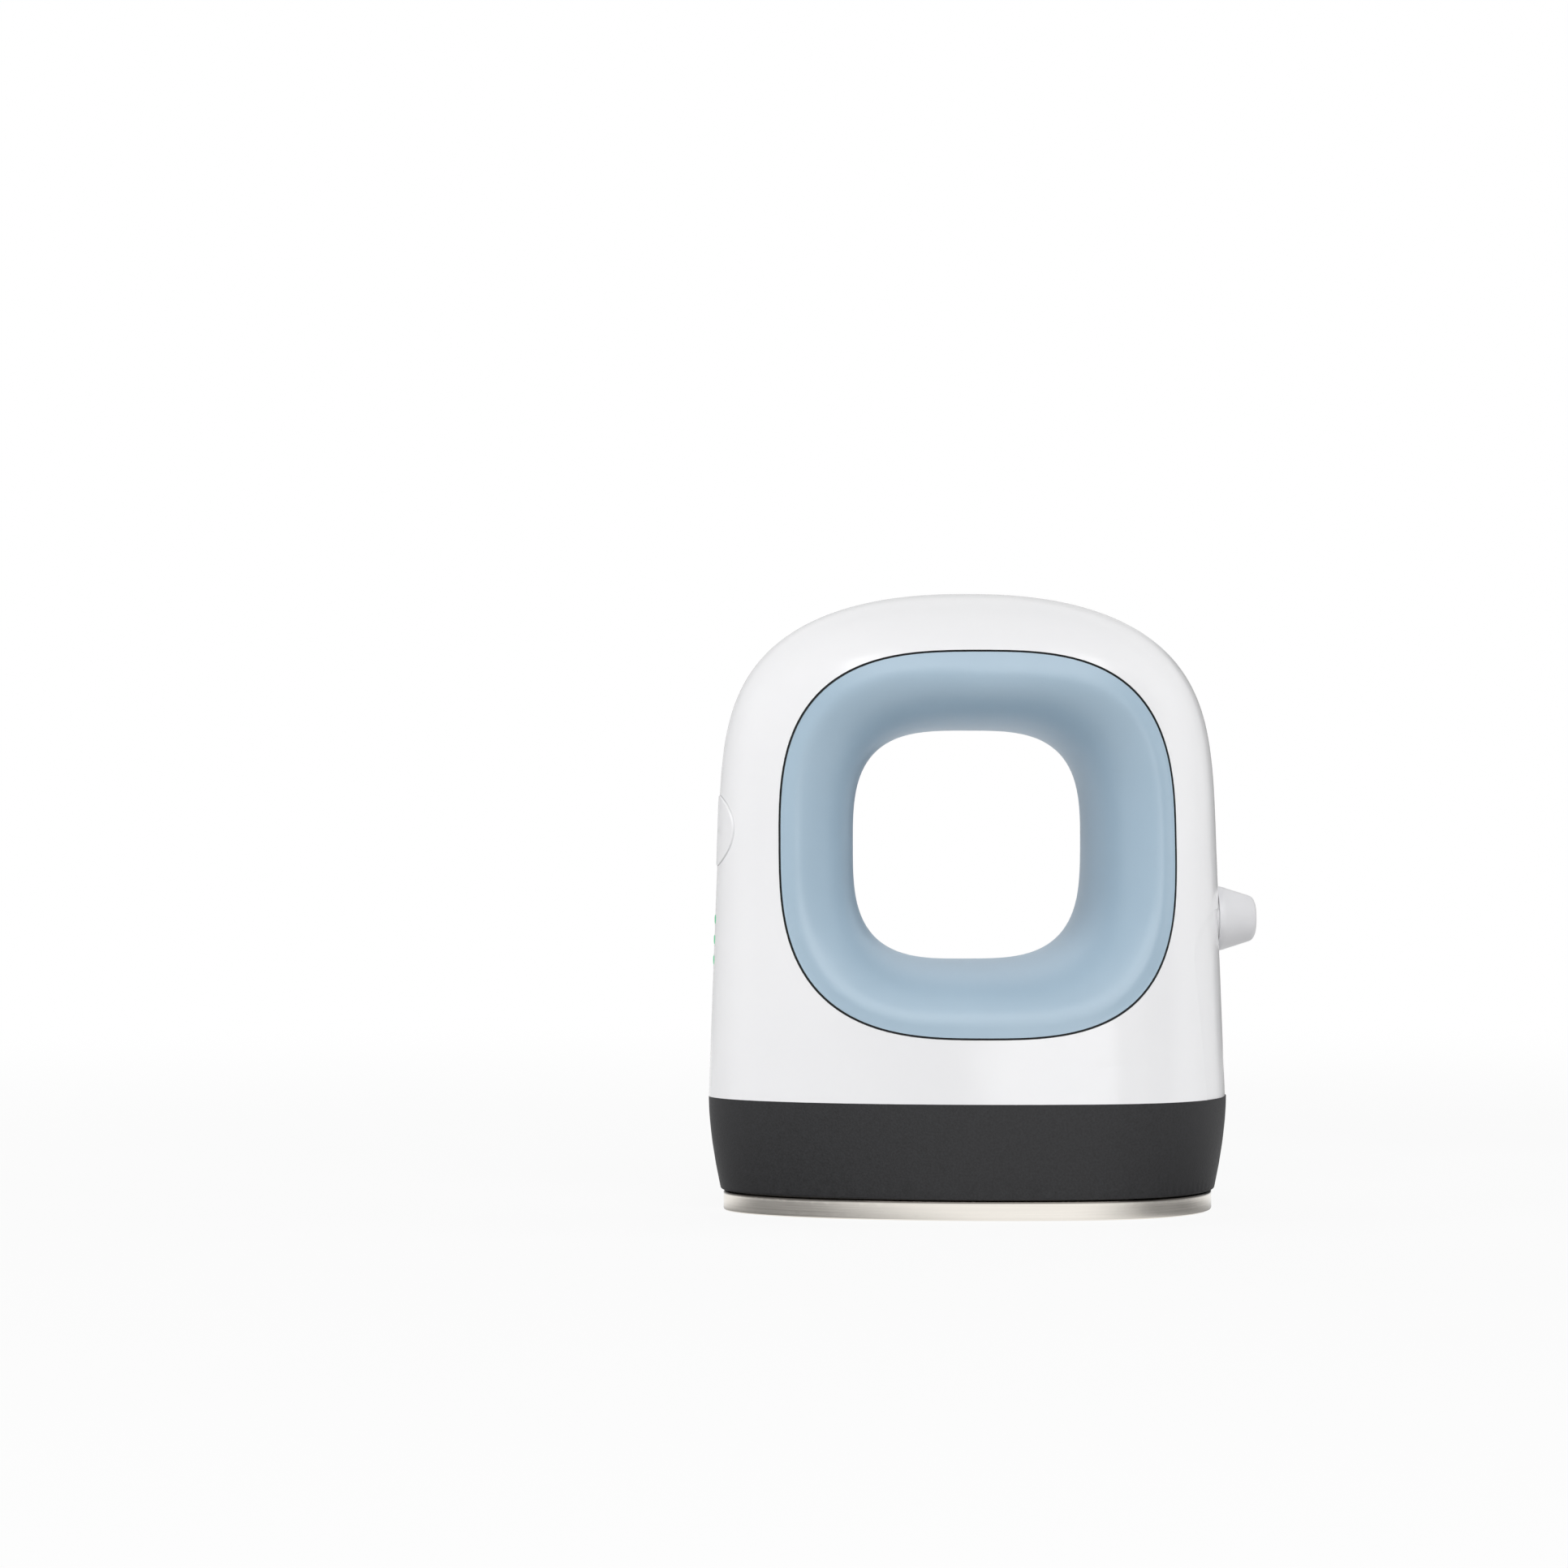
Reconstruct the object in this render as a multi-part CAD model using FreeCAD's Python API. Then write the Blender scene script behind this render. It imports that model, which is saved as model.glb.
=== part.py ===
import FreeCAD, Part
import math
import os

V = FreeCAD.Vector
x_axis = V(1, 0, 0)
y_axis = V(0, 1, 0)
z_axis = V(0, 0, 1)

# A mini handheld heat press, in millimetres.
# The origin is the middle of the press face. +X runs to the cord end, -X to the
# nose with the button, and the front face looks toward -Y.

# The heat plate's outline, which the collar and the body overhang.
plate_half_length = 41.1
plate_half_depth = 24.35
body_overhang_x = 2.5
body_overhang_y = 1.45

# Outer body: egg-shaped level sections that shrink toward a domed top.
seam_half_length = plate_half_length + body_overhang_x
seam_half_depth = plate_half_depth + body_overhang_y
shoulder_x = 14.0
nose_power = 2.0
cord_power = 2.5
seam_z = 19.1
top_z = 103.4
side_taper = 0.0366
face_taper = 0.10
side_round_drop = 41.4
side_round_width_power = 2.3
side_round_height_power = 3.78
face_round_drop = 17.4
face_round_width_power = 2.0
face_round_height_power = 2.2
shell_wall = 2.2
side_round_z = top_z - side_round_drop
face_round_z = top_z - face_round_drop

# Handle opening: the rim on the body's faces and the waist halfway through.
rim_side_border = 10.8
rim_top_border = 9.9
rim_bottom_border = 10.4
rim_power = 2.95
rim_band = 2.8
rim_gap = 0.35
flare_reach_x = 13.4
flare_reach_z = 12.8
waist_drop = 0.3
waist_power = 3.24
rim_half_x = seam_half_length - rim_side_border
rim_half_z = (top_z - rim_top_border - seam_z - rim_bottom_border) / 2
rim_centre_z = seam_z + rim_bottom_border + rim_half_z
waist_half_x = rim_half_x - flare_reach_x
waist_half_z = rim_half_z - flare_reach_z
waist_centre_z = rim_centre_z - waist_drop
flare_end_side = math.radians(74)
flare_end_top = math.radians(98)
flare_end_bottom = math.radians(84)
crease_softness = 0.14
grip_skin = 2.5
flange_reach = 2.5
flange_gap = 0.12
flange_thickness = 1.4
tongue_thickness = 0.7
tongue_depth = 0.9
seal_recess = 0.3
seal_slip = 0.03

# Heat plate, its sheathed heater and the layers up to the collar's deck.
slab_height = 3.3
step_inset = 1.4
plate_height = 6.0
plate_edge_radius = 0.5
plate_top_edge_radius = 0.3
boss_radius = 3.5
plate_hole_floor = 1.8
small_hole_floor = 2.4
nose_screw_margin = 11.1
nose_screw_y = 7.5
cord_screw_margin = 14.1
cord_screw_side_margin = 8.35
tube_radius = 2.75
tube_run_y = 9.5
tube_bend_x = -14.0
tube_end_margin = 19.1
pin_radius = 1.0
pin_length = 6.5
end_seal_length = 2.2
clamp_thickness = 0.8
clamp_half_length = 11.0
clamp_half_width = 13.6
clamp_centre_x = -2.4
clamp_screw_offset = 7.5
clamp_screw_length = 5.5
screw_tip_gap = 1.4
pad_thickness = 3.0
shield_thickness = 0.5
window_lead_in = 10.0
window_end_margin = 7.1
window_half_width = 12.3
nose_screw_x = nose_screw_margin - plate_half_length
cord_screw_x = plate_half_length - cord_screw_margin
cord_screw_y = plate_half_depth - cord_screw_side_margin
plate_screw_places = [(nose_screw_x, nose_screw_y), (nose_screw_x, -nose_screw_y),
                      (cord_screw_x, cord_screw_y), (cord_screw_x, -cord_screw_y)]
tube_end_x = plate_half_length - tube_end_margin
window_start_x = tube_end_x - window_lead_in
window_end_x = plate_half_length - window_end_margin

# Collar between the plate and the body.
collar_bottom_z = 3.5
collar_bottom_inset = 1.95
collar_bottom_power = 1.7
collar_edge_radius = 0.55
collar_depth_share = 0.4
collar_clearance = 0.4
deck_thickness = 2.4
lip_height = 2.4
lip_thickness = 1.2
hook_width = 6.0
hook_height = 7.5
hook_thickness = 1.5
hook_barb = 0.8
hook_barb_height = 2.4
middle_hook_x = 4.0
hook_screw_offset = 3.0
lead_hole_margin = 11.1
lead_hole_radius = 3.0
hook_places = [middle_hook_x, cord_screw_x - hook_screw_offset]
lead_hole_x = plate_half_length - lead_hole_margin

# Main circuit board.
board_low_x = -21.5
board_lead_gap = 4.5
board_half_width = 14.5
board_thickness = 1.6
board_standoff = 4.2
board_post_radius = 2.4
board_screw_inset = 2.8
board_screw_bite = 2.6
board_corner_radius = 1.5
board_high_x = lead_hole_x - board_lead_gap

# Nose: button, lights and their board.
button_z = 63.6
button_radius = 5.9
button_proud = 0.2
button_tab_thickness = 1.2
button_tab_reach = 1.2
button_tab_half_width = 2.5
plunger_radius = 1.7
light_z = 45.3
light_pitch = 3.4
light_radius = 0.9
panel_setback = 11.6
panel_low_z = 33.0
panel_high_z = 76.5
panel_half_width = 6.8
panel_thickness = 1.2
panel_screw_inset = 2.8
panel_screw_bite = 3.6
panel_post_radius = 2.4
switch_depth = 3.4
switch_half_width = 3.0
switch_well = 1.8
plunger_depth = 1.0
button_stem_radius = 2.2
led_depth = 1.0
led_half_width = 0.9
led_half_height = 0.8
pipe_bar_gap = 3.2
pipe_bar_thickness = 1.4
pipe_bar_half_width = 1.9
pipe_bar_reach = 2.4
pipe_foot_radius = 0.6
pipe_foot_inset = 0.7
panel_x = panel_setback - seam_half_length

# Cord end: the gland, its clip and the clamp on the deck.
gland_z = 48.7
gland_root_radius = 5.4
gland_tip_radius = 3.6
gland_reach = 5.1
gland_tip_edge = 0.7
gland_bore_radius = 2.6
gland_neck_radius = 4.2
gland_boss_inset = 0.5
gland_pad_margin = 0.5
gland_boss_rise = 0.5
gland_inside_length = 5.0
clip_thickness = 1.5
clip_inner_radius = 3.5
clip_outer_radius = 6.0
scoop_half_width = 16.5
scoop_corner_radius = 8.5
scoop_depth = 0.2
scoop_rise = 1.8
cord_clamp_offset = 5.0
cord_clamp_half_span = 6.5
cord_clamp_rise = 6.0
cord_clamp_half_width = 2.4
cord_clamp_height = 2.6
cord_screw_bite = 4.0
cord_post_radius = 2.2
cord_rest_half_width = 1.4
cord_rest_gap = 0.6
cord_clamp_x = lead_hole_x + cord_clamp_offset
gland_tip_x = seam_half_length + gland_reach

# Fasteners and clearances.
screw_radius = 1.25
screw_head_radius = 2.4
screw_head_height = 1.8
small_screw_radius = 0.9
small_head_radius = 1.7
small_head_height = 1.2
slip = 0.15
running = 0.06
part_gap = 0.3
lead_radius = 0.8
sensor_lead_radius = 0.6
panel_lead_radius = 0.9
panel_lead_rise = 6.5
panel_lead_reach = 4.0
panel_lead_drop = 4.0

# Levels worked out from the stack.
tube_top_z = plate_height + tube_radius
pad_z = tube_top_z + clamp_thickness
shield_z = pad_z + pad_thickness
deck_z = shield_z + shield_thickness
deck_top_z = deck_z + deck_thickness
board_z = deck_top_z + board_standoff
board_top_z = board_z + board_thickness
clear_reach = seam_half_depth + 12
clear_x = seam_half_length + 6.4


# ---------------------------------------------------------------- plain shapes

def box(x, y, z):
    """A box from three (low, high) pairs."""
    return Part.makeBox(x[1] - x[0], y[1] - y[0], z[1] - z[0], V(x[0], y[0], z[0]))


def rod(radius, start, end):
    span = end - start
    return Part.makeCylinder(radius, span.Length, start, span)


def post(radius, x, y, z):
    """An upright cylinder between the two heights in z."""
    return rod(radius, V(x, y, z[0]), V(x, y, z[1]))


def fuse(shapes):
    return shapes[0].multiFuse(shapes[1:]).removeSplitter()


def group(shapes):
    """Separate solids that share one node."""
    return Part.makeCompound(shapes)


def ring(points):
    """A smooth closed wire through the points."""
    steps = [index / len(points) for index in range(len(points) + 1)]
    curve = Part.BSplineCurve()
    curve.interpolate(Points=points, PeriodicFlag=True, Parameters=steps)
    return Part.Wire(curve.toShape())


def ring_solid(spans):
    """A solid ring skinned over closed wires.

    Each span is a list of wires that one smooth surface passes through. A span starts
    at the wire where the last one ended, and the last span ends where the first began.
    """
    faces = []
    for wires in spans:
        faces += Part.makeLoft(wires, False, len(wires) == 2).Faces
    skin = Part.makeShell(faces)
    skin.sewShape()
    solid = Part.Solid(skin)
    return solid if solid.Volume > 0 else solid.reversed()


def rounded_box(x, y, z, radius):
    """A box whose upright edges are rounded."""
    block = box(x, y, z)
    uprights = [edge for edge in block.Edges if abs(edge.tangentAt(edge.FirstParameter).z) > 0.9]
    return block.makeFillet(radius, uprights)


# ------------------------------------------------------------------ outer body

def egg_points(half_length, half_depth, z):
    """A level section: widest at the shoulder, longer toward the nose."""
    shoulder = shoulder_x * half_length / seam_half_length
    points = []
    for index in range(24):
        angle = 2 * math.pi * index / 24
        along = math.cos(angle)
        if along > 0:
            reach = (half_length - shoulder) * along ** (2 / cord_power)
        else:
            reach = -(half_length + shoulder) * abs(along) ** (2 / nose_power)
        points.append(V(shoulder + reach, half_depth * math.sin(angle), z))
    return points


def egg_prism(half_length, half_depth, z):
    face = Part.Face(ring(egg_points(half_length, half_depth, z[0])))
    return face.extrude(V(0, 0, z[1] - z[0]))


def dome_share(z, start_z, end_z, width_power, height_power):
    """How much of the straight width is left at height z inside a dome."""
    rise = max(0, (z - start_z) / (end_z - start_z))
    return max(0, 1 - rise ** height_power) ** (1 / width_power)


def body_half_length(z, inset):
    straight = seam_half_length - inset - side_taper * (z - seam_z)
    return straight * dome_share(z, side_round_z, top_z - inset, side_round_width_power,
                                 side_round_height_power)


def body_half_depth(z, inset):
    straight = seam_half_depth - inset - face_taper * (z - seam_z)
    return straight * dome_share(z, face_round_z, top_z - inset, face_round_width_power,
                                 face_round_height_power)


def body(inset=0, base_z=seam_z):
    """The solid inside the body's surface, moved in by the inset."""
    end_z = top_z - inset
    heights = [base_z + (side_round_z - base_z) * step / 6 for step in range(7)]
    for step in range(1, 12):
        rise = math.sin(math.pi / 2 * step / 12) ** (2 / side_round_height_power)
        heights.append(side_round_z + (end_z - side_round_z) * rise)
    heights.append(end_z - 0.05)
    sections = [ring(egg_points(body_half_length(z, inset), body_half_depth(z, inset), z))
                for z in heights]
    return Part.makeLoft(sections + [Part.Vertex(0, 0, end_z)], True)


def surface_depth(x, z, inset=0):
    """Distance from the middle plane to the body's surface at x and z."""
    half_length = body_half_length(z, inset)
    shoulder = shoulder_x * half_length / seam_half_length
    if x > shoulder:
        share = ((x - shoulder) / (half_length - shoulder)) ** cord_power
    else:
        share = ((shoulder - x) / (half_length + shoulder)) ** nose_power
    return body_half_depth(z, inset) * math.sqrt(max(0, 1 - share))


def nose_x(z, inset=0):
    return -body_half_length(z, inset)


# ------------------------------------------------------------- handle opening

ring_angles = [2 * math.pi * index / 40 for index in range(40)]


def oval_point(half_x, half_z, centre_z, roundness, angle):
    """A point of a superellipse in the X-Z plane."""
    reach = (abs(math.cos(angle) / half_x) ** roundness
             + abs(math.sin(angle) / half_z) ** roundness) ** (-1 / roundness)
    return V(reach * math.cos(angle), 0, centre_z + reach * math.sin(angle))


def waist_point(angle, offset=0):
    return oval_point(waist_half_x + offset, waist_half_z + offset, waist_centre_z,
                      waist_power, angle)


def rim_point(angle, offset=0):
    return oval_point(rim_half_x + offset, rim_half_z + offset, rim_centre_z, rim_power, angle)


def rim_prism(offset):
    """A prism along Y through both faces, with the rim's outline."""
    points = [rim_point(angle, offset) - V(0, clear_reach, 0) for angle in ring_angles]
    return Part.Face(ring(points)).extrude(V(0, 2 * clear_reach, 0))


def surface_wire(places, side, inset):
    """A closed wire on the body's surface, moved in by the inset."""
    return ring([V(place.x, side * surface_depth(place.x, place.z, inset), place.z)
                 for place in places])


def waist_wire(offset, depth):
    return ring([waist_point(angle, offset) + V(0, depth, 0) for angle in ring_angles])


def rim_places(offset):
    return [rim_point(angle, offset) for angle in ring_angles]


def flare_end(angle):
    """How far the throat turns: it stops short at the sides and rolls over at the top."""
    lift = math.sin(angle)
    far_end = flare_end_top if lift > 0 else flare_end_bottom
    return flare_end_side + (far_end - flare_end_side) * lift * lift


def throat_row(side, share, offset):
    """One row of the throat, from the waist at no share to the crease at the full share."""
    row = []
    for angle in ring_angles:
        waist = waist_point(angle)
        crease = rim_point(angle, -rim_band)
        spread = crease - waist
        full_turn = flare_end(angle)
        turn = full_turn * share
        radius = spread.Length / (1 - math.cos(full_turn))
        depth = surface_depth(crease.x, crease.z) / math.sin(full_turn)
        reach = radius - (radius - offset) * math.cos(turn)
        outward = V(spread).normalize()
        row.append(waist + outward * reach + V(0, side * (depth - offset) * math.sin(turn), 0))
    return row


def throat_wires(side, offset, shares):
    return [ring(throat_row(side, share, offset)) for share in shares]


def grip(side, joint):
    """One half of the handle insert: a throat, a rim flush with the body and a flange.

    The joint lists the (offset, depth) corners of the edge that meets the other half.
    """
    flange_top = shell_wall + flange_gap
    flange_under = flange_top + flange_thickness
    shares = [step / 8 for step in range(8)]
    outer = throat_wires(side, 0, shares + [1 - crease_softness / 3])
    inner = throat_wires(side, grip_skin, shares + [1])
    outer += [surface_wire(rim_places(offset), side, 0)
              for offset in (-rim_band * (1 - crease_softness), -rim_band / 2, -rim_gap)]
    seat = [surface_wire(rim_places(offset), side, flange_top)
            for offset in (-rim_gap, flange_reach / 3, flange_reach * 2 / 3, flange_reach)]
    root = throat_row(side, 1, grip_skin)
    edge = rim_places(flange_reach)
    under = []
    for share in (0, 1 / 3, 2 / 3, 1):
        places = [start + (end - start) * share for start, end in zip(edge, root)]
        under.append(surface_wire(places, side, flange_under))
    corners = [inner[0]] + [waist_wire(offset, depth) for offset, depth in joint] + [outer[0]]
    meeting = [[corners[index], corners[index + 1]] for index in range(len(corners) - 1)]
    return ring_solid([outer, [outer[-1], seat[0]], seat, [seat[-1], under[0]], under,
                       [under[-1], inner[-1]], inner[::-1]] + meeting)


tongue_inner = (grip_skin - tongue_thickness) / 2
tongue_outer = tongue_inner + tongue_thickness


def front_grip():
    """The front half, with a tongue along its meeting edge."""
    return grip(-1, [(tongue_outer, 0), (tongue_outer, tongue_depth),
                     (tongue_inner, tongue_depth), (tongue_inner, 0)])


def rear_grip():
    """The rear half, with a groove for the tongue."""
    outer = tongue_outer + slip
    inner = tongue_inner - slip
    bottom = tongue_depth + slip
    return grip(1, [(outer, 0), (outer, bottom), (inner, bottom), (inner, 0)])


def rim_seal(side):
    """The thin dark seal that fills the gap between the grip's rim and the body."""
    outer = rim_places(-seal_slip)
    inner = rim_places(-rim_gap + seal_slip)
    wires = [surface_wire(outer, side, seal_recess), surface_wire(inner, side, seal_recess),
             surface_wire(inner, side, shell_wall), surface_wire(outer, side, shell_wall)]
    return ring_solid([[wires[index], wires[(index + 1) % 4]] for index in range(4)])


# ------------------------------------------------------------------ body shell

gland_wall_x = body_half_length(gland_z, 0)
gland_seat_x = gland_wall_x + gland_boss_rise
gland_inner_seat_x = body_half_length(gland_z, shell_wall) - 1.6
tab_x = nose_x(button_z, shell_wall) + 1.1
plunger_x = tab_x + button_tab_thickness + 0.6
light_places = [light_z - light_pitch, light_z, light_z + light_pitch]
panel_screw_places = [panel_low_z + panel_screw_inset, panel_high_z - panel_screw_inset]
hook_top_z = deck_top_z + hook_height + hook_barb_height
ledge_top_z = deck_top_z + hook_height


def hook_face_depth(x):
    """Depth of a hook's outer face: its barb clears the wall inside the body."""
    wall = min(surface_depth(x + end * hook_width / 2, hook_top_z, shell_wall) for end in (-1, 1))
    return wall - slip - hook_barb


def hook_box(x, side, depths, z):
    low, high = sorted((side * depths[0], side * depths[1]))
    return box((x - hook_width / 2, x + hook_width / 2), (low, high), z)


def cord_end_scoop():
    """The shallow arch-topped scoop below the gland."""
    top = gland_z + scoop_rise
    block = box((0, clear_reach * 2), (-scoop_half_width, scoop_half_width), (seam_z - 2, top))
    corners = [edge for edge in block.Edges
               if abs(edge.tangentAt(edge.FirstParameter).x) > 0.9 and edge.CenterOfMass.z > top - 1]
    return block.makeFillet(scoop_corner_radius, corners).cut(body(scoop_depth, seam_z - 3))


def body_shell():
    shell = body().cut(body(shell_wall, seam_z - 2)).cut(rim_prism(0)).cut(cord_end_scoop())
    cavity = body(shell_wall - 0.4, seam_z - 2)
    gland_pad = rod(gland_root_radius + gland_pad_margin, V(gland_inner_seat_x, 0, gland_z),
                    V(gland_seat_x, 0, gland_z))
    gland_boss = rod(gland_root_radius - gland_boss_inset, V(gland_inner_seat_x, 0, gland_z),
                     V(gland_seat_x, 0, gland_z))
    additions = [gland_pad.common(body(shell_wall / 2)), gland_boss]
    for z in panel_screw_places:
        additions.append(rod(panel_post_radius, V(panel_x, 0, z),
                             V(nose_x(z, shell_wall / 2), 0, z)))
    for x in hook_places:
        for side in (-1, 1):
            face = hook_face_depth(x) + slip
            ledge = hook_box(x, side, (face, face + 4),
                             (seam_z + lip_height + slip, ledge_top_z - slip))
            additions.append(ledge.common(cavity))
    shell = shell.fuse(additions)
    holes = [rod(gland_neck_radius, V(gland_inner_seat_x - 1, 0, gland_z), V(clear_x, 0, gland_z)),
             rod(button_radius + slip, V(-clear_x, 0, button_z), V(panel_x - 1, 0, button_z))]
    for z in light_places:
        holes.append(rod(light_radius + running, V(-clear_x, 0, z), V(tab_x, 0, z)))
    for z in panel_screw_places:
        holes.append(rod(small_screw_radius + running, V(panel_x - panel_screw_bite - 0.9, 0, z),
                         V(panel_x, 0, z)))
    return shell.cut(holes)


# ---------------------------------------------------------- heat plate and heater

def bent_tube(points, radius, bend=None):
    """A round tube along straight runs joined by tangent arcs."""
    edges = []
    start = points[0]
    for before, corner, after in zip(points, points[1:], points[2:]):
        back = V(before - corner)
        ahead = V(after - corner)
        half_turn = (math.pi - back.getAngle(ahead)) / 2
        shorter = min(back.Length, ahead.Length)
        arc_radius = bend or 0.45 * shorter / math.tan(half_turn)
        trim = arc_radius * math.tan(half_turn)
        back.normalize()
        ahead.normalize()
        entry = corner + back * trim
        leave = corner + ahead * trim
        inward = V(back + ahead).normalize()
        middle = corner + inward * (arc_radius / math.cos(half_turn) - arc_radius)
        if (entry - start).Length > 0.001:
            edges.append(Part.LineSegment(start, entry).toShape())
        edges.append(Part.Arc(entry, middle, leave).toShape())
        start = leave
    edges.append(Part.LineSegment(start, points[-1]).toShape())
    path = Part.Wire(edges)
    section = Part.Wire(Part.makeCircle(radius, points[0], points[1] - points[0]))
    return path.makePipeShell([section], True, False)


def heater_path(extra=0):
    nose_end = tube_bend_x - tube_run_y
    return [V(tube_end_x + extra, tube_run_y, plate_height), V(nose_end, tube_run_y, plate_height),
            V(nose_end, -tube_run_y, plate_height), V(tube_end_x + extra, -tube_run_y, plate_height)]


def heater_tube():
    return bent_tube(heater_path(), tube_radius, tube_run_y)


clamp_screw_places = [(clamp_centre_x - clamp_screw_offset, 0),
                      (clamp_centre_x + clamp_screw_offset, 0)]
sensor_bend_offset = 2.2
sensor_place = (tube_bend_x - sensor_bend_offset, 0)
lug_radius = 2.5
lug_thickness = 0.7
bead_radius = 1.1
bead_end = 3.7
sensor_screw_length = 3.8
fuse_end_offset = 3.0
fuse_half_length = 4.5
fuse_radius = 1.8
fuse_wire_radius = 0.5
fuse_wire_length = 1.0
strap_half_width = 1.5
strap_thickness = 0.5
strap_screw_y = -4.7
strap_foot_end = 1.9
fuse_centre_x = tube_end_x - fuse_end_offset
fuse_x = (fuse_centre_x - fuse_half_length, fuse_centre_x + fuse_half_length)
strap_x = (fuse_centre_x - strap_half_width, fuse_centre_x + strap_half_width)
strap_screw_place = (fuse_centre_x, strap_screw_y)


def heat_plate():
    slab = egg_prism(plate_half_length, plate_half_depth, (0, slab_height))
    bottom = [edge for edge in slab.Edges if edge.BoundBox.ZMax < 0.01]
    slab = slab.makeFillet(plate_edge_radius, bottom)
    top = [edge for edge in slab.Edges if edge.BoundBox.ZMin > slab_height - 0.01]
    slab = slab.makeFillet(plate_top_edge_radius, top)
    step = egg_prism(plate_half_length - step_inset, plate_half_depth - step_inset,
                     (slab_height - 1, plate_height))
    bosses = [post(boss_radius, x, y, (plate_height - 1, tube_top_z))
              for x, y in plate_screw_places + clamp_screw_places]
    plate = slab.fuse([step] + bosses)
    cuts = [bent_tube(heater_path(pin_length + 5), tube_radius + running, tube_run_y)]
    for x, y in plate_screw_places + clamp_screw_places:
        cuts.append(post(screw_radius + running, x, y, (plate_hole_floor, tube_top_z + 1)))
    for x, y in (sensor_place, strap_screw_place):
        cuts.append(post(small_screw_radius + running, x, y, (small_hole_floor, plate_height + 1)))
    return plate.cut(cuts)


def heater_pins():
    pins = []
    for side in (-1, 1):
        start = V(tube_end_x, side * tube_run_y, plate_height)
        pins.append(rod(pin_radius, start, start + x_axis * pin_length))
    return group(pins)


def heater_end_seals():
    seals = []
    for side in (-1, 1):
        start = V(tube_end_x, side * tube_run_y, plate_height)
        seal = rod(tube_radius - slip, start, start + x_axis * end_seal_length)
        hole = rod(pin_radius + running, start - x_axis, start + x_axis * (end_seal_length + 1))
        seals.append(seal.cut(hole))
    return group(seals)


def heater_clamp():
    strip = rounded_box((clamp_centre_x - clamp_half_length, clamp_centre_x + clamp_half_length),
                        (-clamp_half_width, clamp_half_width),
                        (tube_top_z, tube_top_z + clamp_thickness), 2)
    return strip.cut([post(screw_radius + slip, x, y, (tube_top_z - 1, pad_z + 1))
                      for x, y in clamp_screw_places])


def screw(x, y, under_head_z, length, radius, head_radius, head_height):
    """An upright screw with a domed head and a cross slot."""
    shank = post(radius, x, y, (under_head_z - length, under_head_z))
    head = post(head_radius, x, y, (under_head_z, under_head_z + head_height))
    rim = [edge for edge in head.Edges if edge.BoundBox.ZMin > under_head_z + head_height - 0.01]
    head = head.makeFillet(head_height * 0.45, rim)
    slot = 0.2 * head_radius
    reach = 0.6 * head_radius
    depth = (under_head_z + head_height * 0.45, under_head_z + head_height + 1)
    cross = [box((x - reach, x + reach), (y - slot, y + slot), depth),
             box((x - slot, x + slot), (y - reach, y + reach), depth)]
    return shank.fuse(head.cut(cross))


def large_screw(x, y, under_head_z, length):
    return screw(x, y, under_head_z, length, screw_radius, screw_head_radius, screw_head_height)


def small_screw(x, y, under_head_z, length):
    return screw(x, y, under_head_z, length, small_screw_radius, small_head_radius,
                 small_head_height)


def clamp_screws():
    return group([large_screw(x, y, pad_z, clamp_screw_length) for x, y in clamp_screw_places])


def plate_screws():
    length = deck_top_z - plate_hole_floor - screw_tip_gap
    return group([large_screw(x, y, deck_top_z, length) for x, y in plate_screw_places])


def plate_spacers():
    spacers = []
    for x, y in plate_screw_places:
        outer = post(boss_radius - 0.5, x, y, (tube_top_z, deck_z))
        spacers.append(outer.cut(post(screw_radius + slip, x, y, (tube_top_z - 1, deck_z + 1))))
    return group(spacers)


def layer(z):
    """One level layer over the plate, open around spacers, screw heads and leads."""
    inset = step_inset + part_gap
    sheet = egg_prism(plate_half_length - inset, plate_half_depth - inset, z)
    z_cut = (z[0] - 1, z[1] + 1)
    cuts = [post(boss_radius - 0.5 + slip, x, y, z_cut) for x, y in plate_screw_places]
    return sheet.cut(cuts), z_cut


def insulation_pad():
    sheet, z_cut = layer((pad_z, shield_z))
    cuts = [post(screw_head_radius + slip, x, y, z_cut) for x, y in clamp_screw_places]
    cuts.append(box((window_start_x, window_end_x), (-window_half_width, window_half_width), z_cut))
    return sheet.cut(cuts)


def heat_shield():
    sheet, z_cut = layer((shield_z, deck_z))
    return sheet.cut(post(lead_hole_radius + 0.5, lead_hole_x, 0, z_cut))


def temperature_sensor():
    """A ring lug with a crimped bead beside it."""
    x, y = sensor_place
    lug = post(lug_radius, x, y, (plate_height, plate_height + lug_thickness))
    bead = rod(bead_radius, V(x, y + 1.9, plate_height + bead_radius),
               V(x, y + bead_end, plate_height + bead_radius))
    lug = lug.fuse(bead)
    return lug.cut(post(small_screw_radius + slip, x, y, (plate_height - 1, plate_height + 3)))


def thermal_fuse():
    z = plate_height + fuse_radius
    barrel = rod(fuse_radius, V(fuse_x[0], 0, z), V(fuse_x[1], 0, z))
    wires = rod(fuse_wire_radius, V(fuse_x[0] - fuse_wire_length, 0, z),
                V(fuse_x[1] + fuse_wire_length, 0, z))
    return barrel.fuse(wires)


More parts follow.
